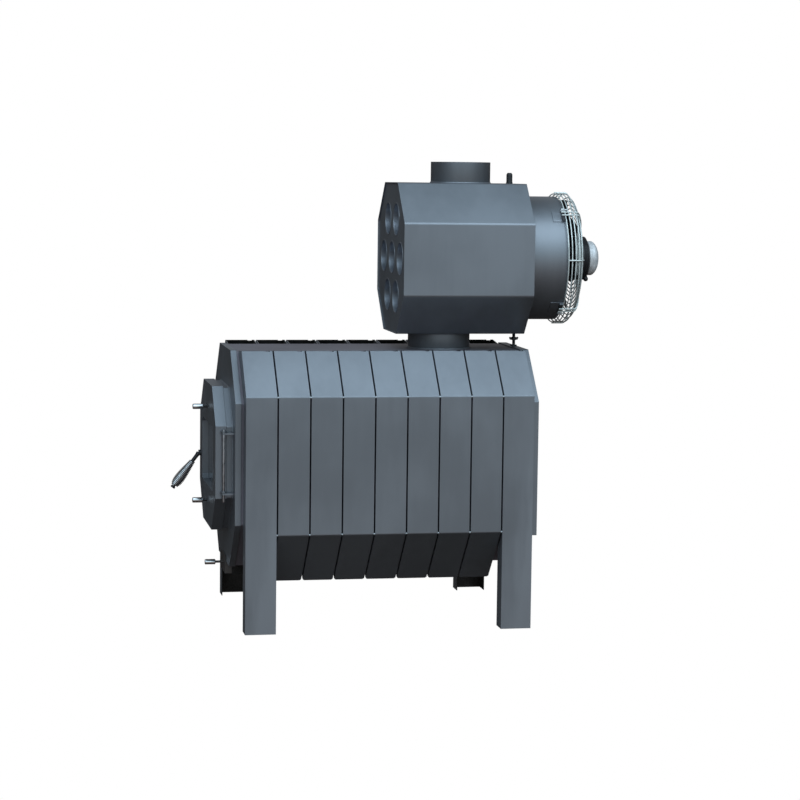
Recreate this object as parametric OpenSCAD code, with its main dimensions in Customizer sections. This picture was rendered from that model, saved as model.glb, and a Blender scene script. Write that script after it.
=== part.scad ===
// Workshop stove: an octagonal steel firebox wrapped in folded air channels, with a tube heat
// exchanger and a fan above it.
// X runs to the right seen from the door, Y runs from the door to the back, Z runs up.
// The origin is on the floor, under the middle of the whole stove.

/* [Firebox] */
// Width of the firebox front across its flats
firebox_w = 640; // [560:2:720]
// Height of the firebox front across its flats
firebox_h = 714; // [640:2:800]
// How far each corner of the front is cut back at 45 degrees
firebox_cut = 159; // [120:1:190]
// Height of the front's lower edge above the floor
firebox_lift = 185; // [160:1:240]
// Thickness of the firebox shell
shell_t = 4; // [3:0.5:6]
// Thickness of the front panel and its rim
panel_t = 4; // [3:0.5:5]
// How far the front panel stands ahead of the channels
panel_reach = 27.5; // [22:0.5:34]
// Depth of the front panel with its rim
panel_depth = 19.5; // [14:0.5:21]
// How far the firebox runs on behind the last channel
shell_tail = 5; // [4:0.5:10]
// Thickness of the firebox back
back_t = 4; // [3:0.5:6]

/* [Air channels] */
// Number of channels on each side, the two legs among them
channel_count = 9; // [7:1:12]
// Width of one channel
channel_w = 100; // [90:1:110]
// Gap between two channels
channel_gap = 5; // [3:0.5:8]
// Depth of a channel outside the line of the front panel
channel_depth = 60; // [40:1:75]
// Thickness of the folded channel sheet
channel_t = 2.5; // [1.5:0.5:3]
// How far the channel tops rise above the firebox top
channel_rise = 4; // [2:0.5:8]
// Width of the small relief notch in a channel's top edge
notch_w = 15; // [8:1:22]
// Depth of that notch
notch_d = 4; // [2:0.5:6]
// Distance of the notch from the rear edge of its channel
notch_inset = 16; // [12:1:24]
// How far the lower corners of a channel are cut off
corner_bite = 5; // [2:0.5:10]

/* [Rear panel] */
// How far the rear panel stands out behind the firebox shell
rear_reach = 25; // [15:1:40]
// Height of the rear panel's lower edge above the floor
rear_low = 298; // [260:1:330]

/* [Door] */
// Distance of the door's sides from the front panel's sides
door_margin = 65; // [50:1:90]
// Height of the door
door_h = 474; // [420:2:520]
// How far each corner of the door is cut back
door_cut = 119; // [90:1:130]
// Depth of the door's rim
door_depth = 35.5; // [30:0.5:45]
// Thickness of the door sheet
door_t = 4; // [3:0.5:5]
// Gap between the closed door's rim and the frame
door_gap = 1; // [0.6:0.1:2]
// How far the door frame stands out of the front panel
frame_reach = 20; // [16:0.5:26]
// How far the frame's outline lies inside the door's outline
frame_inset = 5; // [4.5:0.5:8]
// Thickness of the frame's wall
frame_t = 6; // [4:0.5:8]
// Distance of the window recess from the door's sides
window_margin = 80; // [70:1:130]
// Height of the window recess
window_h = 210; // [140:2:240]
// Depth of the window recess
window_recess = 20; // [14:0.5:24]
// Corner cut of the window recess
window_cut = 14; // [8:1:40]
// Thickness of the recess wall
recess_t = 3; // [2:0.5:4]
// Thickness of the glass
glass_t = 4; // [4:0.5:5]
// How far the glass reaches under the recess wall on each side
glass_lap = 10; // [6:0.5:14]
// Thickness of the door's inner plate
liner_t = 6; // [4:0.5:6]
// Width of the rope seal
gasket_w = 8; // [7:0.5:9]
// Distance of the rope seal from the frame's edge when the door is shut
gasket_gap = 0.5; // [0.3:0.1:1]

/* [Hinge and latch] */
// Diameter of the hinge rod
rod_d = 10; // [8:0.5:12]
// Distance of the hinge rod's axis outside the door's side
rod_out = 13; // [11:0.5:16]
// Distance of the hinge rod's axis behind the door's front
rod_back = 25.5; // [18:0.5:30]
// Height of the upper hinge above the middle of the door
hinge_rise = 98; // [70:1:110]
// Height of one hinge ear
ear_h = 6; // [5:0.5:8]
// Outer radius of a hinge ear
ear_r = 9; // [8:0.5:10]
// How far the hinge rod stands out below the lower ears
rod_tail = 24; // [10:1:30]
// Radial clearance of the turning and sliding fits
running_gap = 0.08; // [0.02:0.01:0.1]
// Distance of the latch spindle from the door's side
latch_inset = 29; // [24:1:50]
// Height of the latch spindle below the door's middle
latch_drop = 26; // [0:1:60]
// Diameter of the latch spindle
spindle_d = 12; // [10:1:14]
// Length of the wound grip
grip_l = 150; // [120:1:170]
// Angle of the grip below the horizontal
grip_slope = 53; // [30:1:70]
// Diameter of the grip's wire
grip_wire_d = 3.6; // [2.5:0.1:4]
// Number of turns of the grip's wire
grip_turns = 24; // [16:1:26]
// Outer diameter of the grip at its neck
grip_neck_d = 16; // [15:0.5:20]
// Largest outer diameter of the grip
grip_belly_d = 34; // [24:0.5:36]
// Diameter of the rod inside the grip
grip_rod_d = 8; // [6:0.5:8]

/* [Air controls] */
// Height of each air slide's knob above or below the door's middle
slide_rise = 157; // [145:1:165]
// Travel of an air slide
slide_travel = 26; // [15:1:30]
// Length of an air slide's plate
slide_l = 130; // [100:1:150]
// Height of an air slide's plate
slide_h = 28; // [22:1:32]
// Thickness of an air slide's plate
slide_t = 2; // [1.5:0.5:3]
// Diameter of a knob
knob_d = 18; // [14:0.5:22]
// Length of a knob
knob_l = 36; // [28:1:42]
// Diameter of a knob's stem
stem_d = 8; // [6:0.5:10]
// Bare length of an air slide's stem ahead of the door
stem_l = 14; // [10:1:20]

/* [Ash drawer] */
// Inner width of the ash box under the firebox
ash_w = 132; // [110:1:150]
// Depth of the ash box below the firebox shell
ash_h = 46; // [36:1:60]
// Length of the ash box behind the front panel
ash_l = 340; // [280:1:400]
// Thickness of the ash box and drawer sheet
ash_t = 2; // [1.5:0.5:3]
// Height of the drawer's front plate
ash_front_h = 62; // [50:1:70]
// Bare length of the drawer's pull rod
ash_rod_l = 25; // [15:1:35]
// Width of the grate
grate_w = 150; // [120:1:170]
// Length of the grate
grate_l = 300; // [240:1:340]
// Thickness of the grate
grate_t = 12; // [10:1:16]
// Width of one slot in the grate
grate_slot = 9; // [7:0.5:12]

/* [Heat exchanger] */
// Width and height of the exchanger across its flats
exchanger_w = 500; // [470:2:540]
// Corner cut of the exchanger
exchanger_cut = 131; // [110:1:150]
// Thickness of the exchanger's sheet
exchanger_t = 3; // [2:0.5:4]
// Gap between the firebox top and the exchanger
exchanger_gap = 49; // [40:1:80]
// Distance of the exchanger's front behind the channel fronts
exchanger_y = 528; // [480:1:560]
// Length of the exchanger
exchanger_l = 437; // [400:1:470]
// How far the tube plates lie inside the exchanger's ends
plate_recess = 5; // [3:0.5:10]
// Thickness of the tube plates
plate_t = 4; // [3:0.5:6]
// Gap between two heat tubes
tube_gap = 40; // [30:1:50]
// Distance of the outer heat tubes from the exchanger's sides
tube_margin = 48; // [36:1:60]
// Wall of a heat tube
tube_t = 2.5; // [2:0.5:4]

/* [Smoke path] */
// Outer diameter of the smoke pipes
pipe_d = 200; // [180:1:204]
// Wall of the smoke pipes
pipe_t = 2.5; // [2:0.5:4]
// Distance of the lower pipe behind the channel fronts
riser_y = 697; // [680:1:720]
// Distance of the flue spigot behind the channel fronts
flue_y = 764; // [740:1:800]
// Height of the flue spigot above the exchanger
flue_h = 70; // [50:1:120]
// How far the pipes reach inside the shells
pipe_inside = 10; // [6:1:20]
// Wall of the socket that carries the exchanger
socket_t = 3.6; // [2.5:0.1:5]
// Radial clearance between the firebox pipe and the socket
socket_gap = 0.7; // [0.4:0.1:1]
// Height of the smoke baffle below the firebox top
baffle_drop = 95; // [80:1:120]
// Distance of the baffle's front edge behind the channel fronts
baffle_y = 180; // [120:1:260]
// Thickness of the smoke baffle
baffle_t = 6; // [4:0.5:8]

/* [Fan] */
// Outer diameter of the fan duct
duct_d = 416; // [408:1:430]
// Length of the fan duct behind the exchanger
duct_l = 126; // [110:1:150]
// Wall of the fan duct
duct_t = 2.5; // [2:0.5:3]
// How far the middle of the guard's wide rings stands out round the duct
guard_reach = 9; // [8:1:14]
// Length of the guard's straight part behind the duct
guard_l = 35; // [28:1:42]
// Depth of the guard's domed part
guard_dome = 28; // [24:1:40]
// Number of rings on the guard's domed part, its middle ring not counted
dome_rings = 11; // [7:1:12]
// Diameter of the guard's middle ring
guard_hub_d = 160; // [156:1:180]
// Diameter of the guard's ring wires
ring_wire_d = 4; // [3:0.5:5]
// Diameter of the guard's spoke wires
spoke_wire_d = 4.6; // [4:0.2:6]
// How deep a spoke's weld sinks into a ring
weld_d = 0.4; // [0.2:0.1:0.8]
// Gap between the two wires of a double spoke
spoke_pair = 13; // [8:0.5:14]
// Angle of the upper clips and double spokes from the top
clip_angle_high = 46; // [35:1:55]
// Angle of the lower clips and double spokes from the top
clip_angle_low = 140; // [128:1:142]
// Diameter of the fan motor
motor_d = 148; // [136:1:152]
// How far the motor's wide ring stands behind the guard
motor_stand = 22; // [16:1:28]
// Length of the motor's wide black ring with its tapered rear
motor_l = 29; // [20:1:32]
// Diameter of the motor's domed cap
cap_d = 116; // [100:1:126]
// Depth of the motor's domed cap
cap_l = 40; // [34:1:50]
// Diameter of the fan hub
hub_d = 124; // [110:1:130]
// Length of the fan hub
hub_l = 70; // [56:1:80]
// Gap between the blade tips and the duct's bore
tip_gap = 8; // [5:1:14]
// Number of fan blades
blade_count = 7; // [5:1:8]
// Thickness of a fan blade
blade_t = 3; // [2:0.5:4]
// Pitch of a fan blade out of the plane of the disc
blade_pitch = 28; // [20:1:40]
// Diameter of the fan shaft
shaft_d = 12; // [10:1:16]

/* [Small parts] */
// Diameter of the levelling stud between the firebox and the exchanger
stud_d = 11; // [8:0.5:14]
// Span of the stud's wing nut
wing_span = 32; // [24:1:40]
// Diameter of the sensor sleeve on the exchanger
sensor_d = 22.5; // [16:0.5:26]
// Height of the sensor sleeve
sensor_h = 36; // [24:1:44]
// Distance of the sensor sleeve behind the channel fronts
sensor_y = 933; // [900:1:945]
// Width across the flats of the bolt heads
bolt_w = 10; // [8:0.5:13]
// Height of the bolt heads
bolt_h = 6; // [5:0.5:9]
// Width of a guard clip
clip_w = 50; // [40:1:56]
// Length of a guard clip's strap along the duct
clip_l = 30; // [24:1:40]
// Length of the black block at the end of a guard clip
block_l = 11; // [8:1:14]
// Thickness of a guard clip's strap
clip_t = 2; // [1.5:0.5:3]

/* [Hidden] */
$fn = 96;
inner_ids = [2:channel_count - 1];

// Colours
paint = "dimgray";
dark = "black";
bright = "silver";
iron = "darkslategray";

// One overrun for all cuts
over = 1;
// How much a corner cut shrinks when an outline is drawn in by one
corner_share = 2 - sqrt(2);

// Y places are counted from the channel fronts
pitch = channel_w + channel_gap;
run_l = pitch * channel_count - channel_gap;
firebox_z = firebox_lift + firebox_h / 2;
firebox_top = firebox_lift + firebox_h;
shell_top = firebox_top - panel_t;
shell_low = firebox_lift + panel_t;
panel_y = -panel_reach;
shell_y = panel_y + panel_t;
shell_end = run_l + shell_tail;
rear_end = shell_end + rear_reach;
inner_top = shell_top - shell_t;
inner_low = shell_low + shell_t;

// Outlines: half width, half height and corner cut
door_w = firebox_w - 2 * door_margin;
window_w = door_w - 2 * window_margin;
firebox_out = [firebox_w / 2, firebox_h / 2, firebox_cut];
door_out = [door_w / 2, door_h / 2, door_cut];
exchanger_out = [exchanger_w / 2, exchanger_w / 2, exchanger_cut];
window_out = [window_w / 2, window_h / 2, window_cut];

// Door places
door_y = panel_y - frame_reach - door_gap - door_depth;
frame_y = panel_y - frame_reach;
glass_y = door_y + window_recess;
liner_y = glass_y + glass_t;
gasket_y = liner_y + liner_t;
gasket_l = frame_y - gasket_gap - gasket_y;
gasket_inset = frame_inset + frame_t / 2 - gasket_w / 2;
rod_x = door_w / 2 + rod_out;
rod_y = door_y + rod_back;
ear_gap = 0.5;
upper_ear_z = firebox_z + hinge_rise;
lower_ear_z = firebox_z - hinge_rise;

// Latch places
latch_x = door_w / 2 - latch_inset;
latch_z = firebox_z - latch_drop;
boss_r = spindle_d / 2 + door_t;
boss_l = spindle_d - door_t;
grip_start = [-latch_x, door_y - grip_neck_d / 2 * sin(grip_slope) - gasket_gap, latch_z];
tongue_t = ear_h;
tongue_y = gasket_y + liner_t;
tongue_reach = door_w / 2 - frame_inset - frame_t - latch_x - gasket_gap;
tongue_l = sqrt(pow(tongue_reach, 2) - pow(spindle_d / 2, 2));

// Exchanger and smoke places
exchanger_z = firebox_top + exchanger_gap + exchanger_w / 2;
exchanger_top = exchanger_z + exchanger_w / 2;
exchanger_low = exchanger_z - exchanger_w / 2;
exchanger_end = exchanger_y + exchanger_l;
tube_d = (exchanger_w - 2 * tube_gap - 2 * tube_margin) / 3;
tube_pitch = tube_d + tube_gap;
tube_y = exchanger_y + plate_recess;
tube_l = exchanger_l - 2 * plate_recess;
duct_y = exchanger_end - plate_recess;
duct_end = exchanger_end + duct_l;
tube_places = concat([[0, 0]], [for (a = [0:60:300]) tube_pitch * [cos(a), sin(a)]]);
baffle_z = firebox_top - baffle_drop;

// Fan places
guard_r = duct_d / 2 + guard_reach;
guard_hub_r = guard_hub_d / 2;
guard_y = duct_end - ring_wire_d / 2;
guard_bend_y = duct_end + guard_l;
guard_end = guard_bend_y + guard_dome;
motor_y = guard_end + motor_stand;
cap_y = motor_y + motor_l;
boss_y = guard_bend_y + guard_dome / 4;
hub_y = boss_y - ear_gap * 2 - hub_l;
blade_r = duct_d / 2 - duct_t - tip_gap;
cap_end = cap_y + cap_l;

// The wire grip: a helix whose radius swells and draws in again
curl_rings = 8;
grip_sides = 6;
grip_straight = grip_wire_d;
collar_l = ear_h;
grip_coil_l = grip_l - 2 * collar_l - 2 * grip_straight;
grip_core_r = grip_neck_d / 2 - grip_wire_d / 2;
grip_swell = grip_belly_d / 2 - grip_neck_d / 2;
grip_steps = grip_turns * curl_rings;
// The swell along the grip: it grows to three quarters of the length and rounds off at the end
belly_share = 0.76;
function swell_share(u) = u < belly_share
    ? (1 - cos(180 * u / belly_share)) / 2
    : sqrt(1 - pow((u - belly_share) / (1 - belly_share), 2));
function grip_r(u) = grip_core_r + grip_swell * swell_share(u);
grip_line = concat(
    [[grip_core_r, 0, collar_l]],
    [for (i = [0:grip_steps])
        let (u = i / grip_steps, a = 360 * grip_turns * u)
        [grip_r(u) * cos(a), grip_r(u) * sin(a), collar_l + grip_straight + grip_coil_l * u]],
    [[grip_core_r, 0, grip_l - collar_l]]
);

// Turns a point of the grip's own frame, along +Z, to its place on the latch
function grip_place(p) =
    let (s = sin(grip_slope), c = cos(grip_slope))
    grip_start + [p[0], -p[2] * c + p[1] * s, -p[2] * s - p[1] * c];

// Unit tangent of a line of points
function unit(v) = v / norm(v);
function tangent(line, i) = unit(line[min(i + 1, len(line) - 1)] - line[max(i - 1, 0)]);
// Rings of a tube that follows a line round the Z axis: one axis of each ring points outwards
function ring_points(line, i, r, sides) =
    let (
        t = i == 0 || i == len(line) - 1 ? [0, 0, 1] : tangent(line, i),
        out = unit([line[i][0], line[i][1], 0]),
        side = unit(cross(t, out)),
        up = cross(side, t)
    )
    [for (k = [0:sides - 1]) line[i] + r * (cos(360 * k / sides) * up + sin(360 * k / sides) * side)];
function tube_points(line, r, sides) =
    [for (i = [0:len(line) - 1]) each ring_points(line, i, r, sides)];
function tube_faces(count, sides) = concat(
    [for (i = [0:count - 2], k = [0:sides - 1]) each
        let (a = i * sides + k, b = i * sides + (k + 1) % sides)
        [[a, b, a + sides], [b, b + sides, a + sides]]],
    [for (k = [1:sides - 2]) [0, k + 1, k]],
    [for (k = [1:sides - 2]) (count - 1) * sides * [1, 1, 1] + [0, k, k + 1]]
);
grip_points = [for (p = tube_points(grip_line, grip_wire_d / 2, grip_sides)) grip_place(p)];
// Least gap between turns: the distance between points at least half a turn apart, less the wire
grip_last = len(grip_line) - 1;
grip_least_gap = min([for (i = [0:grip_last], j = [i + curl_rings / 2:1:min(i + 2 * curl_rings, grip_last)])
    norm(grip_line[i] - grip_line[j])]) - grip_wire_d;
echo("grip wire's least gap to itself in mm", grip_least_gap);

// The whole stove is set so that the middle of its depth is at Y = 0
front_reach = min([for (p = grip_points) p[1]]);
run_y = -(front_reach + cap_end) / 2;

module placed() {
    translate([0, run_y, 0]) children();
}

// An extrusion along Y of a shape drawn in X and Z
module along_y(y, l) {
    translate([0, y + l, 0]) rotate([90, 0, 0]) linear_extrude(l) children();
}

function octagon_points(o, inset) =
    let (w = o[0] - inset, h = o[1] - inset, c = o[2] - corner_share * inset)
    [[w, h - c], [w - c, h], [c - w, h], [-w, h - c], [-w, c - h], [c - w, -h], [w - c, -h], [w, c - h]];

module octagon(o, z, inset = 0) {
    translate([0, z]) polygon(octagon_points(o, inset));
}

module octagon_ring(o, z, inset, t) {
    difference() {
        octagon(o, z, inset);
        octagon(o, z, inset + t);
    }
}

// A straight pipe along Y round X = 0
module pipe_y(y, l, z, r, t) {
    along_y(y, l) translate([0, z]) difference() {
        circle(r = r);
        circle(r = r - t);
    }
}

// A straight pipe along Z round X = 0
module pipe_z(y, z, l, r, t) {
    translate([0, y, z]) linear_extrude(l) difference() {
        circle(r = r);
        circle(r = r - t);
    }
}

module firebox_shell() {
    color(paint) difference() {
        along_y(shell_y, shell_end - shell_y) octagon_ring(firebox_out, firebox_z, panel_t, shell_t);
        translate([0, riser_y, inner_top - over]) cylinder(r = pipe_d / 2, h = shell_t + 2 * over);
        translate([-ash_w / 2 + ash_t, 2 * grate_slot, shell_low - over])
            cube([ash_w - 2 * ash_t, grate_l - 2 * grate_slot, shell_t + 2 * over]);
    }
}

module firebox_back() {
    color(paint) along_y(shell_end - back_t, back_t) octagon(firebox_out, firebox_z, panel_t + shell_t);
}

module front_panel() {
    color(paint) difference() {
        along_y(panel_y, panel_depth) octagon(firebox_out, firebox_z);
        along_y(shell_y, panel_depth) octagon(firebox_out, firebox_z, panel_t);
        along_y(panel_y - over, panel_t + 2 * over) octagon(door_out, firebox_z, frame_inset + frame_t);
    }
}

// The rear panel keeps the firebox's top outline and runs straight down at its sides
module rear_outline(inset) {
    w = firebox_w / 2 - inset;
    c = firebox_cut - corner_share * inset;
    polygon([[w, rear_low + inset], [w, firebox_top - inset - c], [w - c, firebox_top - inset],
        [c - w, firebox_top - inset], [-w, firebox_top - inset - c], [-w, rear_low + inset]]);
}

module rear_panel() {
    color(paint) difference() {
        along_y(shell_end - back_t, rear_reach + back_t) rear_outline(0);
        along_y(shell_end - back_t - over, rear_reach + back_t - panel_t + over) rear_outline(panel_t);
        along_y(shell_end - back_t - over, back_t + over) octagon(firebox_out, firebox_z, panel_t);
    }
}

module door_frame() {
    color(paint) along_y(frame_y, frame_reach) octagon_ring(door_out, firebox_z, frame_inset, frame_t);
}

module grate() {
    count = floor((grate_l - 2 * grate_slot) / (2 * grate_slot));
    color(iron) difference() {
        translate([-grate_w / 2, 0, inner_low]) cube([grate_w, grate_l, grate_t]);
        for (i = [1:count])
            translate([-ash_w / 2 + 2 * grate_slot, 2 * grate_slot * i, inner_low - over])
                cube([ash_w - 4 * grate_slot, grate_slot, grate_t + 2 * over]);
    }
}

module smoke_baffle() {
    color(iron) along_y(baffle_y, shell_end - back_t - baffle_y) intersection() {
        octagon(firebox_out, firebox_z, panel_t + shell_t);
        translate([-firebox_w / 2, baffle_z]) square([firebox_w, baffle_t]);
    }
}

module firebox_pipe() {
    color(dark) pipe_z(riser_y, inner_top - pipe_inside, firebox_top + exchanger_gap - inner_top,
        pipe_d / 2, pipe_t);
}

// An open box below the firebox, closed behind, that the ash drawer slides into
module ash_box() {
    color(dark) translate([-ash_w / 2 - ash_t, panel_y + panel_depth, shell_low - ash_h]) difference() {
        cube([ash_w + 2 * ash_t, ash_l, ash_h]);
        translate([ash_t, -over, ash_t]) cube([ash_w, ash_l - ash_t + over, ash_h]);
    }
}

// Outline of one air channel in X and Z, on the right side
side_x = firebox_w / 2 + channel_depth;
slant_lift = channel_depth * tan(22.5);
upper_z = firebox_top - firebox_cut + slant_lift;
lower_z = firebox_lift + firebox_cut - slant_lift;
top_z = firebox_top + channel_rise;
top_x = side_x - (top_z - upper_z);
end_reach = channel_depth * sin(45);
end_x = firebox_w / 2 - firebox_cut + end_reach;
end_z = firebox_lift - end_reach;
shell_pts = octagon_points(firebox_out, panel_t);
shell_w = shell_pts[0][0];
shell_slant_x = shell_pts[1][0];
shell_bend = shell_pts[0][1];

function channel_outer(inset) =
    let (x = side_x - inset, lift = inset * tan(22.5), step = inset * sin(45))
    [[end_x - step, end_z + step], [x, lower_z + lift], [x, upper_z - lift], [top_x - 2 * step, top_z]];
function leg_outer(inset) =
    let (x = side_x - inset, lift = inset * tan(22.5), step = inset * sin(45))
    [[x, 0], [x, upper_z - lift], [top_x - 2 * step, top_z]];
channel_inner = [[shell_slant_x, shell_top], [shell_w, firebox_z + shell_bend],
    [shell_w, firebox_z - shell_bend], [shell_slant_x, shell_low]];
leg_inner = [[shell_slant_x, shell_top], [shell_w, firebox_z + shell_bend], [shell_w, 0]];

module channel_body(outer, inner_line, under_line) {
    difference() {
        along_y(0, channel_w) polygon(concat(outer, inner_line));
        along_y(channel_t, channel_w - 2 * channel_t) polygon(concat(under_line, inner_line));
        translate([top_x, channel_w - notch_inset, top_z]) rotate([0, -135, 0])
            translate([-notch_d, -notch_w / 2, -channel_t - over])
                cube([2 * notch_d, notch_w, 2 * channel_t + 2 * over]);
    }
}

module channel_profile() {
    side = corner_bite * sqrt(2);
    difference() {
        channel_body(channel_outer(0), channel_inner, channel_outer(channel_t));
        for (y = [0, channel_w]) translate([end_x, y, end_z]) rotate([0, -45, 0]) rotate([0, 0, 45])
            cube([side, side, 4 * channel_t + 2 * over], center = true);
    }
}

module leg_profile() {
    channel_body(leg_outer(0), leg_inner, leg_outer(channel_t));
}

module on_side(i, side) {
    translate([0, pitch * (i - 1), 0]) mirror([side < 0 ? 1 : 0, 0, 0]) children();
}

module channel(i, side) {
    color(paint) on_side(i, side) channel_profile();
}

module leg(i, side) {
    color(paint) on_side(i, side) leg_profile();
}

module exchanger_shell() {
    color(paint) difference() {
        along_y(exchanger_y, exchanger_l) octagon_ring(exchanger_out, exchanger_z, 0, exchanger_t);
        translate([0, flue_y, exchanger_top - exchanger_t - over])
            cylinder(r = pipe_d / 2 - pipe_t, h = exchanger_t + 2 * over);
        translate([0, riser_y, exchanger_low - over])
            cylinder(r = pipe_d / 2 + socket_gap + socket_t, h = exchanger_t + 2 * over);
    }
}

module tube_plate(y) {
    along_y(y, plate_t) difference() {
        octagon(exchanger_out, exchanger_z, exchanger_t);
        for (p = tube_places) translate([p[0], exchanger_z + p[1]]) circle(r = tube_d / 2);
    }
}

module exchanger_front() {
    color(paint) tube_plate(tube_y);
}

module exchanger_rear() {
    color(paint) tube_plate(tube_y + tube_l - plate_t);
}

module heat_tubes() {
    color(dark) for (p = tube_places) translate([p[0], 0, 0])
        pipe_y(tube_y, tube_l, exchanger_z + p[1], tube_d / 2, tube_t);
}

module riser_socket() {
    color(paint) pipe_z(riser_y, shell_top, exchanger_low + pipe_inside - shell_top,
        pipe_d / 2 + socket_gap + socket_t, socket_t);
}

// The flue spigot stands on the exchanger's top, round its smoke hole
module flue_spigot() {
    color(dark) pipe_z(flue_y, exchanger_top, flue_h, pipe_d / 2, pipe_t);
}

// A screw stud with a wing nut, standing on the rear panel under the exchanger
stud_y = shell_end + rear_reach / 2;
wing_share = 0.4;
wing_z = firebox_top + exchanger_gap * wing_share;
wing_t = stud_d / 3;
module levelling_stud() {
    color(dark) translate([0, stud_y, firebox_top]) {
        cylinder(r = stud_d / 2, h = exchanger_gap);
        cylinder(r = stud_d, h = wing_t);
    }
    color(dark) translate([-wing_t / 2, stud_y - wing_span / 2, wing_z]) cube([wing_t, wing_span, stud_d]);
}

module sensor_sleeve() {
    tip = sensor_d / 3;
    color(dark) translate([0, sensor_y, exchanger_top]) {
        cylinder(r = sensor_d / 2, h = sensor_h - tip);
        translate([0, 0, sensor_h - tip]) cylinder(r1 = sensor_d / 2, r2 = tip, h = tip);
    }
}

module fan_duct() {
    color(paint) pipe_y(duct_y, duct_end - duct_y, exchanger_z, duct_d / 2, duct_t);
}

// The four clips: each one's angle from the top, and the way round to its bolt
clips = [[clip_angle_high, -1], [clip_angle_low, 1], [-clip_angle_low, -1], [-clip_angle_high, 1]];

// Turns a shape that is drawn above the fan's axis round to an angle from the top
module round_fan(a) {
    translate([0, 0, exchanger_z]) rotate([0, a, 0]) children();
}

// A clip is a strap bent round the duct with a thick block at its end, which carries the spokes
block_y = guard_y - ring_wire_d / 2 - block_l;
block_r = guard_r + ring_wire_d / 2 - weld_d;
module clip_sheet(y, l, r, t) {
    intersection() {
        pipe_y(y, l, 0, r, t);
        translate([-clip_w / 2, 0, 0]) cube([clip_w, duct_end, 2 * guard_r]);
    }
}

module guard_clips() {
    color(dark) for (c = clips) round_fan(c[0]) {
        clip_sheet(block_y - clip_l, clip_l + block_l, duct_d / 2 + clip_t, clip_t);
        clip_sheet(block_y, block_l, block_r, block_r - duct_d / 2 - clip_t / 2);
    }
}

// The guard's rings as distance from the axis and Y: some round the duct, then the dome's, evenly
// spread down to the middle ring
ring_count = 3;
// Steps of a spoke over the dome
dome_steps = 10;
// Sides of a spoke wire
wire_sides = 8;
dome_w = guard_r - guard_hub_r;
function dome_point(a) = [guard_hub_r + dome_w * cos(a), guard_bend_y + guard_dome * sin(a)];
function dome_way(a) = unit([guard_dome * cos(a), dome_w * sin(a)]);
straight_line = [for (i = [0:ring_count - 1]) [guard_r, guard_y + (guard_bend_y - guard_y) * i / ring_count]];
ring_line = concat(straight_line, [for (i = [0:dome_rings]) dome_point(acos(1 - i / dome_rings))]);

// Angle of a side outline at one of its points
function lean(line, i) =
    let (d = line[min(i + 1, len(line) - 1)] - line[max(i - 1, 0)])
    atan2(d[0], d[1]);
// The spokes lie on the rings and sink into them by the depth of the weld
spoke_out = ring_wire_d / 2 + spoke_wire_d / 2 - weld_d;
spoke_line = concat(
    [for (p = straight_line) p + [spoke_out, 0]],
    [for (i = [0:dome_steps]) let (a = 90 * i / dome_steps) dome_point(a) + spoke_out * dome_way(a)]
);
clip_spoke_line = concat([[spoke_line[0][0], block_y]], spoke_line);

// One ring of a spoke: a circle square to the outline at one of its points
function spoke_ring(line, i, offset_x) =
    let (a = lean(line, i), out = [0, -sin(a), cos(a)])
    [for (k = [0:wire_sides - 1]) let (b = 360 * k / wire_sides)
        [offset_x, line[i][1], line[i][0]] + spoke_wire_d / 2 * (cos(b) * [1, 0, 0] + sin(b) * out)];

// A spoke wire that follows a side outline at one side offset
module spoke(line, offset_x) {
    rings = [for (i = [0:len(line) - 1]) each spoke_ring(line, i, offset_x)];
    polyhedron(rings, tube_faces(len(line), wire_sides));
}

module guard_rings() {
    color(bright) for (p = ring_line) translate([0, p[1], exchanger_z]) rotate([90, 0, 0])
        rotate_extrude() translate([p[0], 0]) circle(r = ring_wire_d / 2);
}

module guard_spokes() {
    color(bright) {
        for (a = [0:90:270]) round_fan(a) spoke(spoke_line, 0);
        for (c = clips, s = [-1, 1]) round_fan(c[0]) spoke(clip_spoke_line, s * spoke_pair / 2);
    }
}

module bolt() {
    cylinder(d = bolt_w / cos(30), h = bolt_h, $fn = 6);
}

// Bolts on the clips' blocks, beside the double spokes, and the rear panel's bolts
bolt_turn = asin(clip_w / 3 / block_r);
module bolts() {
    color(bright) {
        for (c = clips) round_fan(c[0] + c[1] * bolt_turn)
            translate([0, block_y + block_l / 2, block_r]) bolt();
        for (sx = [-1, 1], z = [rear_low + channel_w, firebox_top - firebox_cut])
            translate([sx * (firebox_w / 2 - firebox_cut / 2), rear_end, z]) rotate([-90, 0, 0]) bolt();
    }
}

// The motor hangs on the guard by a flange in front of the guard's middle ring. Its wide ring
// stands behind the guard and tapers to the cap.
motor_ring_share = 0.6;
motor_ring_l = motor_l * motor_ring_share;
module motor_ring() {
    along_y(motor_y, motor_ring_l) translate([0, exchanger_z]) circle(r = motor_d / 2);
    translate([0, motor_y + motor_ring_l, exchanger_z]) rotate([-90, 0, 0])
        cylinder(r1 = motor_d / 2, r2 = (cap_d + ring_wire_d) / 2, h = motor_l - motor_ring_l);
}

module fan_motor() {
    color(dark) difference() {
        union() {
            motor_ring();
            along_y(guard_end - ring_wire_d, ring_wire_d / 2) translate([0, exchanger_z])
                circle(r = guard_hub_r);
            along_y(boss_y, motor_y - boss_y) translate([0, exchanger_z]) circle(r = hub_d / 2);
        }
        along_y(boss_y - over, motor_l + over) translate([0, exchanger_z])
            circle(r = shaft_d / 2 + running_gap);
    }
}

module motor_cap() {
    rim = cap_l / 4;
    steps = 8;
    dome = [for (i = [0:steps]) let (a = 90 * i / steps) [cap_d / 2 * cos(a), rim + (cap_l - rim) * sin(a)]];
    color(bright) translate([0, cap_y, exchanger_z]) rotate([-90, 0, 0])
        rotate_extrude() polygon(concat([[0, 0], [cap_d / 2, 0]], dome));
}

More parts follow.
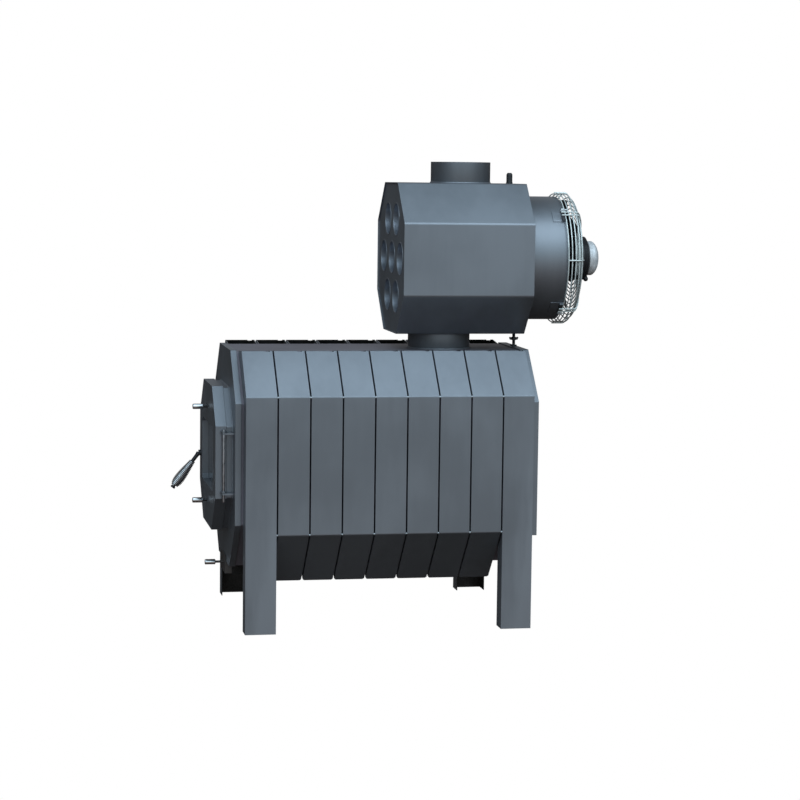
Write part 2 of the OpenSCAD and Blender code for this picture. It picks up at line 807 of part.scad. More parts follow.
// The gland stands on the motor's rim between two spokes
gland_angle = 150;
gland_r = shaft_d - door_t;
module cable_gland() {
    color(dark) difference() {
        round_fan(gland_angle) translate([0, cap_y - gland_r - ring_wire_d / 2, motor_d / 2 - gland_r])
            cylinder(r = gland_r, h = gland_r + shaft_d);
        motor_ring();
    }
}

// Hinge ears on the front panel: a tongue from the panel that ends round the rod
module ear(x0, x1, y0, y1, z, bore) {
    translate([0, 0, z]) difference() {
        union() {
            translate([x0, y0, 0]) cube([x1 - x0, y1 - y0, ear_h]);
            translate([rod_x, rod_y, 0]) cylinder(r = ear_r, h = ear_h);
        }
        translate([rod_x, rod_y, -over]) cylinder(r = bore, h = ear_h + 2 * over);
    }
}

module hinge_ears() {
    color(paint) for (z = [upper_ear_z, lower_ear_z])
        ear(rod_x - ear_r, rod_x + ear_r, rod_y, panel_y, z - ear_h, rod_d / 2);
}

module hinge_rod() {
    color(bright) translate([rod_x, rod_y, lower_ear_z - ear_h - rod_tail])
        cylinder(r = rod_d / 2, h = upper_ear_z - lower_ear_z + 2 * ear_h + rod_tail + rod_d / 2);
}

module door_ears() {
    color(paint) for (z = [upper_ear_z, lower_ear_z])
        ear(door_w / 2, rod_x, rod_y - ear_r, rod_y + ear_r, z + ear_gap, rod_d / 2 + running_gap);
}

// The slot of an air slide and the two air holes beside it: shut as drawn, open at the slot's left end
slot_l = slide_travel + stem_d + 2 * door_gap;
hole_l = slide_travel - door_gap;
module air_holes(x) {
    for (s = [-1, 1]) translate([x + s * (slot_l / 2 + door_t + hole_l / 2), 0])
        square([hole_l, slide_h / 3], center = true);
}
module slide_cuts() {
    translate([-slide_travel / 2, 0]) square([slot_l, stem_d + 2 * door_gap], center = true);
    air_holes(-slide_travel / 2);
}

// Two angle strips that hold an air slide against the door plate
module slide_guides(z) {
    gap = door_gap;
    for (s = [-1, 1]) translate([-slide_l / 2, 0, z + s * slide_h / 2]) {
        along_y(door_y + door_t, slide_t + 2 * gap) translate([0, 2 * s * gap - gap])
            square([slide_l, 2 * gap]);
        along_y(door_y + door_t + slide_t + gap, gap) translate([0, -2 * gap])
            square([slide_l, 4 * gap]);
    }
}

module door_shell() {
    color(paint) {
        difference() {
            along_y(door_y, door_depth) octagon(door_out, firebox_z);
            along_y(door_y + door_t, door_depth) octagon(door_out, firebox_z, door_t);
            along_y(door_y - over, door_t + 2 * over) octagon(window_out, firebox_z);
            for (s = [-1, 1]) along_y(door_y - over, door_t + 2 * over)
                translate([0, firebox_z + s * slide_rise]) slide_cuts();
            translate([-latch_x, door_y - over, latch_z]) rotate([-90, 0, 0])
                cylinder(r = spindle_d / 2 + running_gap, h = door_t + 2 * over);
        }
        along_y(door_y + door_t, window_recess - door_t)
            octagon_ring(window_out, firebox_z, -recess_t, recess_t);
        for (s = [-1, 1]) slide_guides(firebox_z + s * slide_rise);
    }
}

module door_glass() {
    color("gray", 0.5) along_y(glass_y, glass_t) octagon(window_out, firebox_z, -glass_lap);
}

module door_liner() {
    color(paint) difference() {
        along_y(liner_y, liner_t) difference() {
            octagon(door_out, firebox_z, door_t);
            octagon(window_out, firebox_z);
        }
        translate([-latch_x, liner_y - over, latch_z]) rotate([-90, 0, 0])
            cylinder(r = spindle_d / 2 + running_gap, h = liner_t + 2 * over);
    }
}

module door_gasket() {
    color("gainsboro") along_y(gasket_y, gasket_l) octagon_ring(door_out, firebox_z, gasket_inset, gasket_w);
}

module at_grip() {
    translate(grip_start) rotate([90 + grip_slope, 0, 0]) children();
}

// Spindle through the door, tongue behind it, boss in front and the grip's inner rod
module latch_lever() {
    color(iron) {
        translate([-latch_x, door_y - boss_l, latch_z]) rotate([-90, 0, 0]) {
            cylinder(r = boss_r, h = boss_l - gasket_gap);
            cylinder(r = spindle_d / 2, h = tongue_y + tongue_t - door_y + boss_l);
        }
        translate([-latch_x - tongue_l, tongue_y, latch_z - spindle_d / 2])
            cube([tongue_l, tongue_t, spindle_d]);
        at_grip() {
            cylinder(r = grip_rod_d / 2, h = grip_l);
            cylinder(r = grip_neck_d / 2, h = collar_l);
            translate([0, 0, grip_l - collar_l]) cylinder(r = grip_neck_d / 2, h = collar_l);
        }
    }
}

module latch_grip() {
    color(bright) polyhedron(grip_points, tube_faces(grip_last + 1, grip_sides));
}

module air_slide(z) {
    color(iron) {
        difference() {
            along_y(door_y + door_t + door_gap / 2, slide_t) translate([-slide_l / 2, z - slide_h / 2])
                square([slide_l, slide_h]);
            along_y(door_y, door_depth) translate([0, z]) air_holes(slide_travel / 2);
        }
        translate([0, door_y - stem_l, z]) rotate([-90, 0, 0])
            cylinder(r = stem_d / 2, h = stem_l + door_t + door_gap / 2);
    }
}

module knob(y, z) {
    edge = knob_d / 12;
    color(bright) translate([0, y, z]) rotate([90, 0, 0]) rotate_extrude()
        polygon([[0, 0], [knob_d / 2 - edge, 0], [knob_d / 2, edge], [knob_d / 2, knob_l - edge],
            [knob_d / 2 - edge, knob_l], [0, knob_l]]);
}

// Ash drawer: an open tray with a front plate and a pull rod
drawer_gap = 1;
drawer_low = shell_low - ash_h + ash_t + drawer_gap;
drawer_top = firebox_lift - drawer_gap;
drawer_y = panel_y - drawer_gap;
drawer_w = ash_w - 2 * drawer_gap;
drawer_l = panel_depth + drawer_gap + ash_l - ash_t - 2 * drawer_gap;
knob_z = (drawer_low + drawer_top + ash_front_h / 3) / 2;
module ash_drawer() {
    color(paint) {
        difference() {
            translate([-drawer_w / 2, drawer_y, drawer_low])
                cube([drawer_w, drawer_l, drawer_top - drawer_low]);
            translate([-drawer_w / 2 + ash_t, drawer_y + ash_t, drawer_low + ash_t])
                cube([drawer_w - 2 * ash_t, drawer_l - 2 * ash_t, drawer_top]);
        }
        translate([-drawer_w / 2, drawer_y - ash_t, drawer_low]) cube([drawer_w, ash_t, ash_front_h]);
        translate([0, drawer_y - ash_t - ash_rod_l, knob_z]) rotate([-90, 0, 0])
            cylinder(r = stem_d / 2, h = ash_rod_l);
    }
}

module fan_rotor() {
    color(dark) {
        difference() {
            union() {
                along_y(hub_y, hub_l) translate([0, exchanger_z]) circle(r = hub_d / 2);
                intersection() {
                    pipe_y(hub_y, hub_l, exchanger_z, blade_r, blade_r - hub_d / 3);
                    for (i = [0:blade_count - 1]) round_fan(360 * i / blade_count)
                        translate([0, hub_y + hub_l / 2, 0]) rotate([0, 0, blade_pitch])
                            translate([-blade_r / 3, -blade_t / 2, hub_d / 3])
                                cube([2 * blade_r / 3, blade_t, blade_r]);
                }
            }
            along_y(hub_y - over, hub_l + 2 * over) translate([0, exchanger_z]) circle(r = shaft_d / 2);
        }
    }
}

module fan_shaft() {
    color(bright) along_y(hub_y, boss_y + motor_l / 2 - hub_y) translate([0, exchanger_z])
        circle(r = shaft_d / 2);
}

placed() firebox_shell();
placed() firebox_back();
placed() front_panel();
placed() rear_panel();
placed() door_frame();
placed() grate();
placed() smoke_baffle();
placed() firebox_pipe();
placed() ash_box();
placed() hinge_ears();
placed() hinge_rod();
for (i = inner_ids) {
    placed() channel(i, 1);
    placed() channel(i, -1);
}
placed() leg(1, 1);  // leg_front_right
placed() leg(1, -1);  // leg_front_left
placed() leg(channel_count, 1);  // leg_rear_right
placed() leg(channel_count, -1);  // leg_rear_left
placed() exchanger_shell();
placed() exchanger_front();
placed() exchanger_rear();
placed() heat_tubes();
placed() riser_socket();
placed() flue_spigot();
placed() levelling_stud();
placed() sensor_sleeve();
placed() fan_duct();
placed() guard_clips();
placed() guard_rings();
placed() guard_spokes();
placed() bolts();
placed() fan_motor();
placed() motor_cap();
placed() cable_gland();
placed() door_shell();
placed() door_liner();
placed() door_gasket();
placed() door_glass();
placed() door_ears();
placed() latch_lever();
placed() latch_grip();
placed() air_slide(firebox_z + slide_rise);  // upper_slide
placed() knob(door_y - stem_l, firebox_z + slide_rise);  // upper_knob
placed() air_slide(firebox_z - slide_rise);  // lower_slide
placed() knob(door_y - stem_l, firebox_z - slide_rise);  // lower_knob
placed() ash_drawer();
placed() knob(drawer_y - ash_t - ash_rod_l, knob_z);  // ash_knob
placed() fan_rotor();
placed() fan_shaft();
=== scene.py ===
import math

import bmesh
import bpy
from mathutils import Matrix, Vector


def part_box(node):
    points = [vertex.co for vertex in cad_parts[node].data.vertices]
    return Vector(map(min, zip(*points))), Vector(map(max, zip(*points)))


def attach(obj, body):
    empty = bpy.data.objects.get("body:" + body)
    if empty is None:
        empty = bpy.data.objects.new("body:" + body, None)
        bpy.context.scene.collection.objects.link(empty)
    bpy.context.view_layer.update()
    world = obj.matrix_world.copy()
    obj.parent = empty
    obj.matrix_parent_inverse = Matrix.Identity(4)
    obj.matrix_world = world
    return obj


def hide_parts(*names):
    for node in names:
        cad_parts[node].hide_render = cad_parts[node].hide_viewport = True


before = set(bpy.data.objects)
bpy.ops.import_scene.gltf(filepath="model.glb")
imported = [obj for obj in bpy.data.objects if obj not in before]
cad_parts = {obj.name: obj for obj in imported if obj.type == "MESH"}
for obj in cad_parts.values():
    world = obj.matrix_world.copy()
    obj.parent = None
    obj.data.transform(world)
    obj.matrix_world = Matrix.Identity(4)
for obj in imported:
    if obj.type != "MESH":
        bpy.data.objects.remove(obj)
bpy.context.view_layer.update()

scene = bpy.context.scene

# The camera stands where the photographer stood: seven metres to the right of the stove, a little
# ahead of its door and as high as the exchanger's top. Its Y is counted from the channels' front.
channel_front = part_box("leg_front_right")[0].y
camera_place = Vector((7.552, channel_front - 0.848, 1.479))
camera_yaw = 0.1852
camera_pitch = -0.0990
camera_roll = 0.0124
focal_length = 102.84
sensor_width = 36.0

ahead = Vector((
    -math.cos(camera_yaw) * math.cos(camera_pitch),
    math.sin(camera_yaw) * math.cos(camera_pitch),
    math.sin(camera_pitch),
))
level_right = ahead.cross(Vector((0, 0, 1))).normalized()
level_up = level_right.cross(ahead)
right = level_right * math.cos(camera_roll) + level_up * math.sin(camera_roll)
up = level_up * math.cos(camera_roll) - level_right * math.sin(camera_roll)
camera = bpy.data.objects.new("camera", bpy.data.cameras.new("camera"))
scene.collection.objects.link(camera)
camera.data.sensor_width = sensor_width
camera.data.lens = focal_length
camera.matrix_world = Matrix((
    (right.x, up.x, -ahead.x, camera_place.x),
    (right.y, up.y, -ahead.y, camera_place.y),
    (right.z, up.z, -ahead.z, camera_place.z),
    (0, 0, 0, 1),
))
scene.camera = camera


# The studio: soft light from all round, strongest and coolest from above the camera's side, and a
# broad cool panel overhead. The floor and the backdrop are plain white, because the photograph is
# a cut-out. The camera sees them, but they light nothing.
class Wire:
    """An output of a node tree. Python's operators on it add Math nodes."""

    def __init__(self, nodes, socket):
        self.nodes = nodes
        self.socket = socket

    def __add__(self, other):
        return self.nodes.maths("ADD", self, other)

    def __sub__(self, other):
        return self.nodes.maths("SUBTRACT", self, other)

    def __rsub__(self, other):
        return self.nodes.maths("SUBTRACT", other, self)

    def __mul__(self, other):
        return self.nodes.maths("MULTIPLY", self, other)

    def __truediv__(self, other):
        return self.nodes.maths("DIVIDE", self, other)

    __radd__ = __add__
    __rmul__ = __mul__


class Nodes:
    """A node tree written as calls: each call adds one node and returns one of its outputs."""

    def __init__(self, tree):
        self.tree = tree
        tree.nodes.clear()

    def add(self, kind, settings=None, inputs=None, output=0):
        node = self.tree.nodes.new(kind)
        for name, value in (settings or {}).items():
            if name == "stops":
                self.set_stops(node.color_ramp, value)
            else:
                setattr(node, name, value)
        for key, value in (inputs or {}).items():
            if isinstance(value, Wire):
                self.tree.links.new(value.socket, node.inputs[key])
            else:
                node.inputs[key].default_value = value
        return Wire(self, node.outputs[output]) if len(node.outputs) else None

    def set_stops(self, ramp, stops):
        while len(ramp.elements) < len(stops):
            ramp.elements.new(1.0)
        for element, (place, colour) in zip(ramp.elements, stops):
            element.position = place
            element.color = colour

    def maths(self, operation, *values):
        return self.add("ShaderNodeMath", {"operation": operation}, dict(enumerate(values)))

    def part(self, vector, letter):
        return self.add("ShaderNodeSeparateXYZ", inputs={0: vector}, output=letter)

    def step(self, value, low, high):
        edges = {"Value": value, "From Min": low, "From Max": high}
        return self.add("ShaderNodeMapRange", {"interpolation_type": "SMOOTHSTEP"}, edges)

    def tint(self, share, first, second):
        return self.add("ShaderNodeMix", {"data_type": "RGBA"}, {0: share, 6: first, 7: second}, 2)

    def place(self):
        return self.add("ShaderNodeTexCoord", output="Object")

    def noise(self, place, scale, detail=2.0):
        return self.add("ShaderNodeTexNoise", inputs={"Vector": place, "Scale": scale, "Detail": detail})

    def relief(self, strength, distance, height):
        return self.add("ShaderNodeBump", inputs={
            "Strength": strength, "Distance": distance, "Height": height})

    def show(self, shader, inputs, output="ShaderNodeOutputMaterial"):
        self.add(output, inputs={"Surface": self.add(shader, inputs=inputs)})


def new_finish(name):
    """An empty material, and its tree of nodes."""
    finish = bpy.data.materials.new(name)
    finish.use_nodes = True
    return finish, Nodes(finish.node_tree)


def mesh_of(work, name, smooth=None):
    """The mesh that is held in work, shaded smooth where its faces meet at less than an angle."""
    mesh = bpy.data.meshes.new(name)
    work.to_mesh(mesh)
    work.free()
    if smooth is not None:
        mesh.shade_smooth()
        mesh.set_sharp_from_angle(angle=math.radians(smooth))
    return mesh


# Each row is an angle in degrees round the stove's length, where 0 is level on the camera's side
# and 90 is straight up, and the light that comes from there.
light_round_stove = (
    (-180, (0.035, 0.035, 0.035)), (-135, (0.020, 0.019, 0.018)), (-95, (0.020, 0.018, 0.016)),
    (-65, (0.050, 0.040, 0.036)), (-41, (0.11, 0.082, 0.075)), (-29, (0.18, 0.145, 0.135)),
    (-18, (0.28, 0.25, 0.24)), (-7, (0.43, 0.43, 0.43)), (4, (0.58, 0.66, 0.69)),
    (14, (0.78, 0.98, 1.09)), (25, (0.94, 1.22, 1.39)), (36, (0.74, 0.93, 1.06)),
    (60, (0.52, 0.67, 0.77)), (74, (0.50, 0.64, 0.74)), (88, (0.34, 0.45, 0.52)),
    (104, (0.15, 0.16, 0.165)), (124, (0.08, 0.08, 0.08)), (142, (0.26, 0.26, 0.265)),
    (158, (0.30, 0.30, 0.31)), (170, (0.22, 0.22, 0.225)), (180, (0.035, 0.035, 0.035)),
)
end_light = (0.06, 0.06, 0.06, 1)
end_share = 0.75
end_band = (0.35, 1.0)
world = bpy.data.worlds.new("studio_light")
scene.world = world
scene.view_settings.view_transform = "Standard"
world.use_nodes = True
sky = Nodes(world.node_tree)
heading = sky.add("ShaderNodeTexCoord", output="Generated")
turn = sky.maths("ARCTAN2", sky.part(heading, "Z"), sky.part(heading, "X"))
stops = [((angle + 180) / 360, colour + (1,)) for angle, colour in light_round_stove]
round_light = sky.add("ShaderNodeValToRGB", {"stops": stops}, {0: turn / math.tau + 0.5})
endwise = sky.step(sky.maths("ABSOLUTE", sky.part(heading, "Y")), *end_band)
whole = sky.tint(endwise * end_share, round_light, end_light)
sky.show("ShaderNodeBackground", {"Color": whole, "Strength": 1.0}, "ShaderNodeOutputWorld")

panel_low = Vector((0.39, -1.4, 2.15))
panel_high = Vector((1.65, 1.6, 2.15))
panel_radiance = 1.30
panel_light = bpy.data.lights.new("overhead_panel", "AREA")
panel_light.shape = "RECTANGLE"
panel_light.size = panel_high.x - panel_low.x
panel_light.size_y = panel_high.y - panel_low.y
panel_light.energy = panel_radiance * math.pi * panel_light.size * panel_light.size_y
panel_light.color = (0.78, 0.96, 1.10)
overhead = bpy.data.objects.new("overhead_panel", panel_light)
overhead.location = (panel_low + panel_high) / 2
overhead.visible_camera = False
scene.collection.objects.link(overhead)

stage_radius = 30.0
stage_white = (1.0, 1.0, 1.0, 1)
for name, make, options in (
    ("floor", bmesh.ops.create_circle, {"cap_ends": True, "segments": 96}),
    ("backdrop", bmesh.ops.create_uvsphere, {"u_segments": 48, "v_segments": 24}),
):
    paper, glow = new_finish(name + "_paper")
    glow.show("ShaderNodeEmission", {"Color": stage_white})
    work = bmesh.new()
    make(work, radius=stage_radius, **options)
    screen = bpy.data.objects.new(name, mesh_of(work, name))
    screen.data.materials.append(paper)
    scene.collection.objects.link(screen)
    for ray in ("diffuse", "glossy", "transmission", "shadow"):
        setattr(screen, "visible_" + ray, False)


# The firebox is a welded octagonal shell of thick sheet, closed at the back. The heat has faded
# the paint on the shell, and the plate at its back is black with soot.
def shaded(colour, share=1.0):
    """A colour made darker or lighter, with its alpha."""
    return tuple(min(1.0, c * share) for c in colour) + (1,)


def sprayed_paint(name, colour, metal, roughness, drift=0.10):
    """A sprayed metallic paint: fine grain, broad drift in tone, and a painted highlight that lightens its
    edges.
    """
    finish, paint = new_finish(name)
    place = paint.place()
    upright = paint.add("ShaderNodeMapping", inputs={"Vector": place, "Scale": (1, 1, 0.16)})
    clouds = paint.noise(place, scale=2.6, detail=3.0)
    streaks = paint.noise(upright, scale=34.0, detail=4.0)
    grain = paint.noise(place, scale=1500.0)
    orange_peel = paint.noise(place, scale=330.0)
    drifted = paint.step(clouds * 0.85 + streaks * 0.15, 0.36, 0.64)
    tone = paint.tint(drifted, shaded(colour, 1 - drift), shaded(colour, 1 + drift))
    # Painted highlight: edges found by pointiness are mixed up to halfway towards a lighter tone.
    edge = paint.add("ShaderNodeNewGeometry", output="Pointiness")
    painted_edge_highlight = paint.step(edge + (streaks - 0.5) * 0.06, 0.53, 0.60) * 0.5
    paint.show("ShaderNodeBsdfPrincipled", {
        "Base Color": paint.tint(painted_edge_highlight, tone, shaded(colour, 1.5)),
        "Metallic": metal,
        "Roughness": roughness + (clouds - 0.5) * 0.08 + (streaks - 0.5) * 0.03 + (grain - 0.5) * 0.05,
        "Normal": paint.relief(0.22, 0.0004, orange_peel * 0.6 + grain * 0.4)})
    return finish


def sooty_steel(name, clean, soot_and_painted_shade, roughness):
    """Steel that has burnt dark: soot in soft patches over the scaled metal."""
    finish, steel = new_finish(name)
    place = steel.place()
    patches = steel.noise(place, scale=9.0, detail=5.0)
    scale = steel.noise(place, scale=180.0, detail=3.0)
    steel.show("ShaderNodeBsdfPrincipled", {
        "Base Color": steel.tint(steel.step(patches + scale * 0.3, 0.5, 0.8), shaded(soot_and_painted_shade), shaded(clean)),
        "Metallic": 0.2,
        "Roughness": roughness + (patches - 0.5) * 0.2,
        "Normal": steel.relief(0.35, 0.0006, scale)})
    return finish


def rounded_copy(node, name, edge, fold=0.0, smooth=30.0):
    """The node's own solid with its flats joined, its edges broken and its folds rounded."""
    merge_gap = 0.00002
    flat_angle = math.radians(1.0)
    corner_bend = math.radians(60)
    work = bmesh.new()
    work.from_mesh(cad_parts[node].data)
    bmesh.ops.remove_doubles(work, verts=work.verts, dist=merge_gap)
    bmesh.ops.dissolve_limit(work, angle_limit=flat_angle, verts=work.verts, edges=work.edges)
    weight = work.edges.layers.float.new("bevel_weight_edge")
    widest = max(edge, fold)
    for line in work.edges:
        bend = line.calc_face_angle(0.0) if len(line.link_faces) == 2 else 0.0
        if bend > corner_bend:
            line[weight] = edge / widest
        elif bend > math.radians(smooth):
            line[weight] = (fold or edge) / widest
    piece = bpy.data.objects.new(name, mesh_of(work, name, smooth))
    rounding = piece.modifiers.new("rounding", "BEVEL")
    rounding.limit_method = "WEIGHT"
    rounding.width = widest
    rounding.segments = 3
    rounding.harden_normals = True
    return piece


def fasten(piece, body, slot, finish, *nodes):
    """Gives a piece its finish, sets it on a body and lets it stand for the nodes that it shows."""
    piece.data.materials.clear()
    piece.data.materials.append(finish)
    scene.collection.objects.link(piece)
    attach(piece, body)
    if nodes:
        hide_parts(*nodes)
    return piece


def dress(node, ending, body, slot, finish, *rounding):
    """Fastens the node's rounded copy in the node's place."""
    return fasten(rounded_copy(node, node + ending, *rounding), body, slot, finish, node)


sheet_edge = 0.0007
thick_fold = 0.005
anthracite = sprayed_paint("anthracite_paint", (0.245, 0.262, 0.290), 0.72, 0.40)
# Heat-darkened paint on the door's inner plate; on the ash drawer the same dark paint is painted shade under
# the front panel.
burnt_and_shaded_paint = sprayed_paint("heat_darkened_and_shaded_paint", (0.105, 0.092, 0.088), 0.45, 0.55, drift=0.16)
# The soot-black finish is real soot on the firebox's back plate and pipe, and painted shade on the channels'
# insides and the ash box.
soot_and_painted_shade = sooty_steel("soot_and_shade_black", (0.045, 0.042, 0.040), (0.012, 0.011, 0.010), 0.85)
faded_paint = sprayed_paint("heat_faded_paint", (0.20, 0.185, 0.215), 0.35, 0.48, drift=0.14)
for node, finish in (("firebox_shell", faded_paint), ("firebox_back", soot_and_painted_shade)):
    dress(node, "_plate", "stove", "body_paint", finish, sheet_edge, thick_fold)

# The grate is a flat iron casting with straight slots over the ash opening. The smoke baffle is a
# flat plate across the firebox, below its roof, that sends the smoke forward before it rises.
casting_edge = 0.0016
fire_iron = sooty_steel("fire_iron", (0.10, 0.085, 0.072), (0.020, 0.018, 0.017), 0.75)
for node in ("grate", "smoke_baffle"):
    dress(node, "_iron", "stove", "fire_iron", fire_iron, casting_edge)

# The front panel is an octagonal tray of sheet that caps the firebox. The door frame is a welded
# octagonal collar on it, and a painted weld bead runs where the two meet.
panel_fold = 0.0025
for node in ("front_panel", "door_frame"):
    dress(node, "_sheet", "stove", "body_paint", anthracite, sheet_edge, panel_fold)


def open_tree(name, inputs):
    """A new geometry-node tree, its nodes, and its inputs by name, each given as a kind and a value."""
    tree = bpy.data.node_groups.new(name, "GeometryNodeTree")
    for label, (kind, value) in inputs.items():
        socket = tree.interface.new_socket(label, in_out="INPUT", socket_type="NodeSocket" + kind)
        if value is not None:
            socket.default_value = value
    tree.interface.new_socket("Geometry", in_out="OUTPUT", socket_type="NodeSocketGeometry")
    flow = Nodes(tree)
    entry = tree.nodes.new("NodeGroupInput")
    return tree, flow, {socket.name: Wire(flow, socket) for socket in entry.outputs if socket.name}


def close_tree(flow, geometry, material):
    """Ends a tree: every copy is made real, and the whole is painted."""
    real = flow.add("GeometryNodeRealizeInstances", inputs={"Geometry": geometry})
    painted = flow.add("GeometryNodeSetMaterial", inputs={"Geometry": real, "Material": material})
    flow.add("NodeGroupOutput", inputs={0: painted})


def wire_tree():
    """Geometry nodes that turn lines of points into round wire, smooth or rippled like a weld bead."""
    tree, flow, given = open_tree("wire_along_line", {
        "Geometry": ("Geometry", None),
        "Radius": ("Float", 0.002),
        "Sides": ("Int", 8),
        "Ripple": ("Float", 0.0),
        "Ripple length": ("Float", 0.004),
        "Material": ("Material", None),
    })
    line = flow.add("GeometryNodeMeshToCurve", inputs={"Mesh": given["Geometry"]})
    run = flow.add("GeometryNodeSplineParameter", output="Length")
    wave = flow.maths("SINE", run / given["Ripple length"] * math.tau)
    profile = flow.add("GeometryNodeCurvePrimitiveCircle", inputs={
        "Resolution": given["Sides"], "Radius": given["Radius"]})
    tube = flow.add("GeometryNodeCurveToMesh", inputs={
        "Curve": line, "Profile Curve": profile, "Scale": 1 + wave * given["Ripple"], "Fill Caps": True})
    smooth = flow.add("GeometryNodeSetShadeSmooth", inputs={"Geometry": tube})
    close_tree(flow, smooth, given["Material"])
    return tree


def from_nodes(name, mesh, tree, finish, **values):
    """The plain mesh that a geometry-node tree makes from a mesh of points, with its inputs set by name."""
    carrier = bpy.data.objects.new(name + "_line", mesh)
    scene.collection.objects.link(carrier)
    modifier = carrier.modifiers.new("maker", "NODES")
    modifier.node_group = tree
    values["Material"] = finish
    for item in tree.interface.items_tree:
        if item.in_out == "INPUT" and item.name in values:
            modifier[item.identifier] = values[item.name]
    bpy.context.view_layer.update()
    made = bpy.data.meshes.new_from_object(carrier.evaluated_get(bpy.context.evaluated_depsgraph_get()))
    carrier.modifiers.remove(modifier)
    bpy.data.objects.remove(carrier)
    made.name = name
    return bpy.data.objects.new(name, made)


def line_mesh(lines, closed=True):
    """A mesh that holds lines of points joined by edges."""
    mesh = bpy.data.meshes.new("lines")
    points, edges = [], []
    for line in lines:
        start = len(points)
        points += [tuple(p) for p in line]
        edges += [(start + i, start + i + 1) for i in range(len(line) - 1)]
        if closed:
            edges.append((start + len(line) - 1, start))
    mesh.from_pydata(points, edges, [])
    return mesh


def spaced(corners, gap):
    """Points a set distance apart along the straight lines of a closed outline."""
    corners = [Vector(c) for c in corners]
    points = []
    for a, b in zip(corners, corners[1:] + corners[:1]):
        count = max(1, round((b - a).length / gap))
        points += [a.lerp(b, i / count) for i in range(count)]
    return points


wire = wire_tree()
bead_radius = 0.0026
bead_ripple = 0.16
bead_pitch = 0.0042
bead_step = 0.0011


def wires(name, lines, finish, radius, sides=8, closed=True, **ripple):
    """Round wire along each line of points."""
    return from_nodes(name, line_mesh(lines, closed), wire, finish, Radius=radius, Sides=sides, **ripple)


def weld(name, lines, radius=bead_radius):
    """A painted weld bead along each closed line."""
    ripple = {"Ripple": bead_ripple, "Ripple length": bead_pitch}
    fasten(wires(name, lines, anthracite, radius, **ripple), "stove", "body_paint", anthracite)


def octagon(low, high, cut, y):
    """Corners of an upright octagon at one Y, inside a box's low and high corners."""
    return [
        (low.x + cut, y, low.z), (high.x - cut, y, low.z), (high.x, y, low.z + cut),
        (high.x, y, high.z - cut), (high.x - cut, y, high.z), (low.x + cut, y, high.z),
        (low.x, y, high.z - cut), (low.x, y, low.z + cut),
    ]


def inner_cut(inset):
    """Corner cut of an octagon that lies an even distance inside the door's octagon."""
    return door_cut - inset * (2 - math.sqrt(2))


door_cut = 0.119
frame_inset = 0.005
frame_low, frame_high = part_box("door_frame")
panel_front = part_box("front_panel")[0].y
collar = octagon(frame_low, frame_high, inner_cut(frame_inset), panel_front)
weld("door_frame_weld", [spaced(collar, bead_step)])

# Each side carries nine air channels of thin sheet, folded along two lines. Tack welds tie each
# channel to the next at its folds, and the channels' inward faces are painted near black as
# painted shade. The first and the last channel run down to the floor as legs.
channel_edge = 0.0006
channel_fold = 0.0055
channel_count = 9
channel_wall = 0.001
web_lean = 0.3
flange_lean = 0.9
side_names = ("right", "left")
inner_numbers = range(2, channel_count)
channel_nodes = [f"channel_{side}_{number}" for side in side_names for number in inner_numbers]
leg_nodes = [f"leg_{end}_{side}" for end in ("front", "rear") for side in side_names]
for node in channel_nodes + leg_nodes:
    sheet = dress(node, "_sheet", "stove", "body_paint", anthracite, channel_edge, channel_fold)
    # The inward faces of webs and flanges take the soot-black finish: painted shade inside the channels.
    sheet.data.materials.append(soot_and_painted_shade)
    low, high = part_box(node)
    outward = 1 if low.x > 0 else -1
    for face in sheet.data.polygons:
        within = low.y + channel_wall < face.center.y < high.y - channel_wall
        inner_flange = abs(face.normal.y) > flange_lean and within
        inner_web = face.normal.x * outward < -web_lean
        face.material_index = 1 if inner_web or inner_flange else 0


def scatter_tree():
    """Geometry nodes that set a copy of one shape on each point, turned to the way the point faces."""
    tree, flow, given = open_tree("set_on_points", {
        "Geometry": ("Geometry", None), "Shape": ("Object", None), "Material": ("Material", None)})
    shape = flow.add("GeometryNodeObjectInfo", inputs={"Object": given["Shape"]}, output="Geometry")
    facing = flow.add("GeometryNodeInputNamedAttribute", {"data_type": "FLOAT_VECTOR"}, {"Name": "facing"})
    turn = flow.add("FunctionNodeAlignRotationToVector", {"axis": "Z"}, {"Vector": facing})
    copies = flow.add("GeometryNodeInstanceOnPoints", inputs={
        "Points": given["Geometry"], "Instance": shape, "Rotation": turn})
    close_tree(flow, copies, given["Material"])
    return tree


def set_on(name, shape_mesh, spots, finish):
    """Copies of a small shape, one at each spot's place, each facing the spot's own way."""
    mesh = bpy.data.meshes.new("places")
    mesh.from_pydata([tuple(place) for place, way in spots], [], [])
    facing = mesh.attributes.new("facing", "FLOAT_VECTOR", "POINT")
    facing.data.foreach_set("vector", [c for place, way in spots for c in way])
    shape = bpy.data.objects.new("shape", shape_mesh)
    made = from_nodes(name, mesh, scatter, finish, Shape=shape)
    bpy.data.objects.remove(shape)
    return made


def plated_steel(name, colour, roughness, brushed=0.0, metal_share=1.0):
    """Bare or plated metal with faint handling marks; brushed steel adds fine drawn lines along Z."""
    finish, metal = new_finish(name)
    place = metal.place()
    lines = metal.add("ShaderNodeMapping", inputs={"Vector": place, "Scale": (900, 900, 12)})
    smears = metal.noise(place, scale=60.0, detail=4.0)
    drawn = metal.noise(lines, scale=1.0)
    metal.show("ShaderNodeBsdfPrincipled", {
        "Base Color": metal.tint(metal.step(smears, 0.3, 0.7), shaded(colour, 0.72), shaded(colour)),
        "Metallic": metal_share,
        "Roughness": roughness + (smears - 0.5) * 0.16 + (drawn - 0.5) * brushed,
        "Normal": metal.relief(0.12, 0.0002, drawn)})
    return finish


scatter = scatter_tree()
tack_half = Vector((0.0032, 0.0072, 0.0026))
tack_sink = 0.0029
fold_low = 0.3191
fold_high = 0.7649
fold_lean = math.pi / 8
work = bmesh.new()
bmesh.ops.create_uvsphere(work, u_segments=12, v_segments=8, radius=1.0)
bmesh.ops.scale(work, vec=tack_half, verts=work.verts)
tack_mesh = mesh_of(work, "tack", smooth=180)

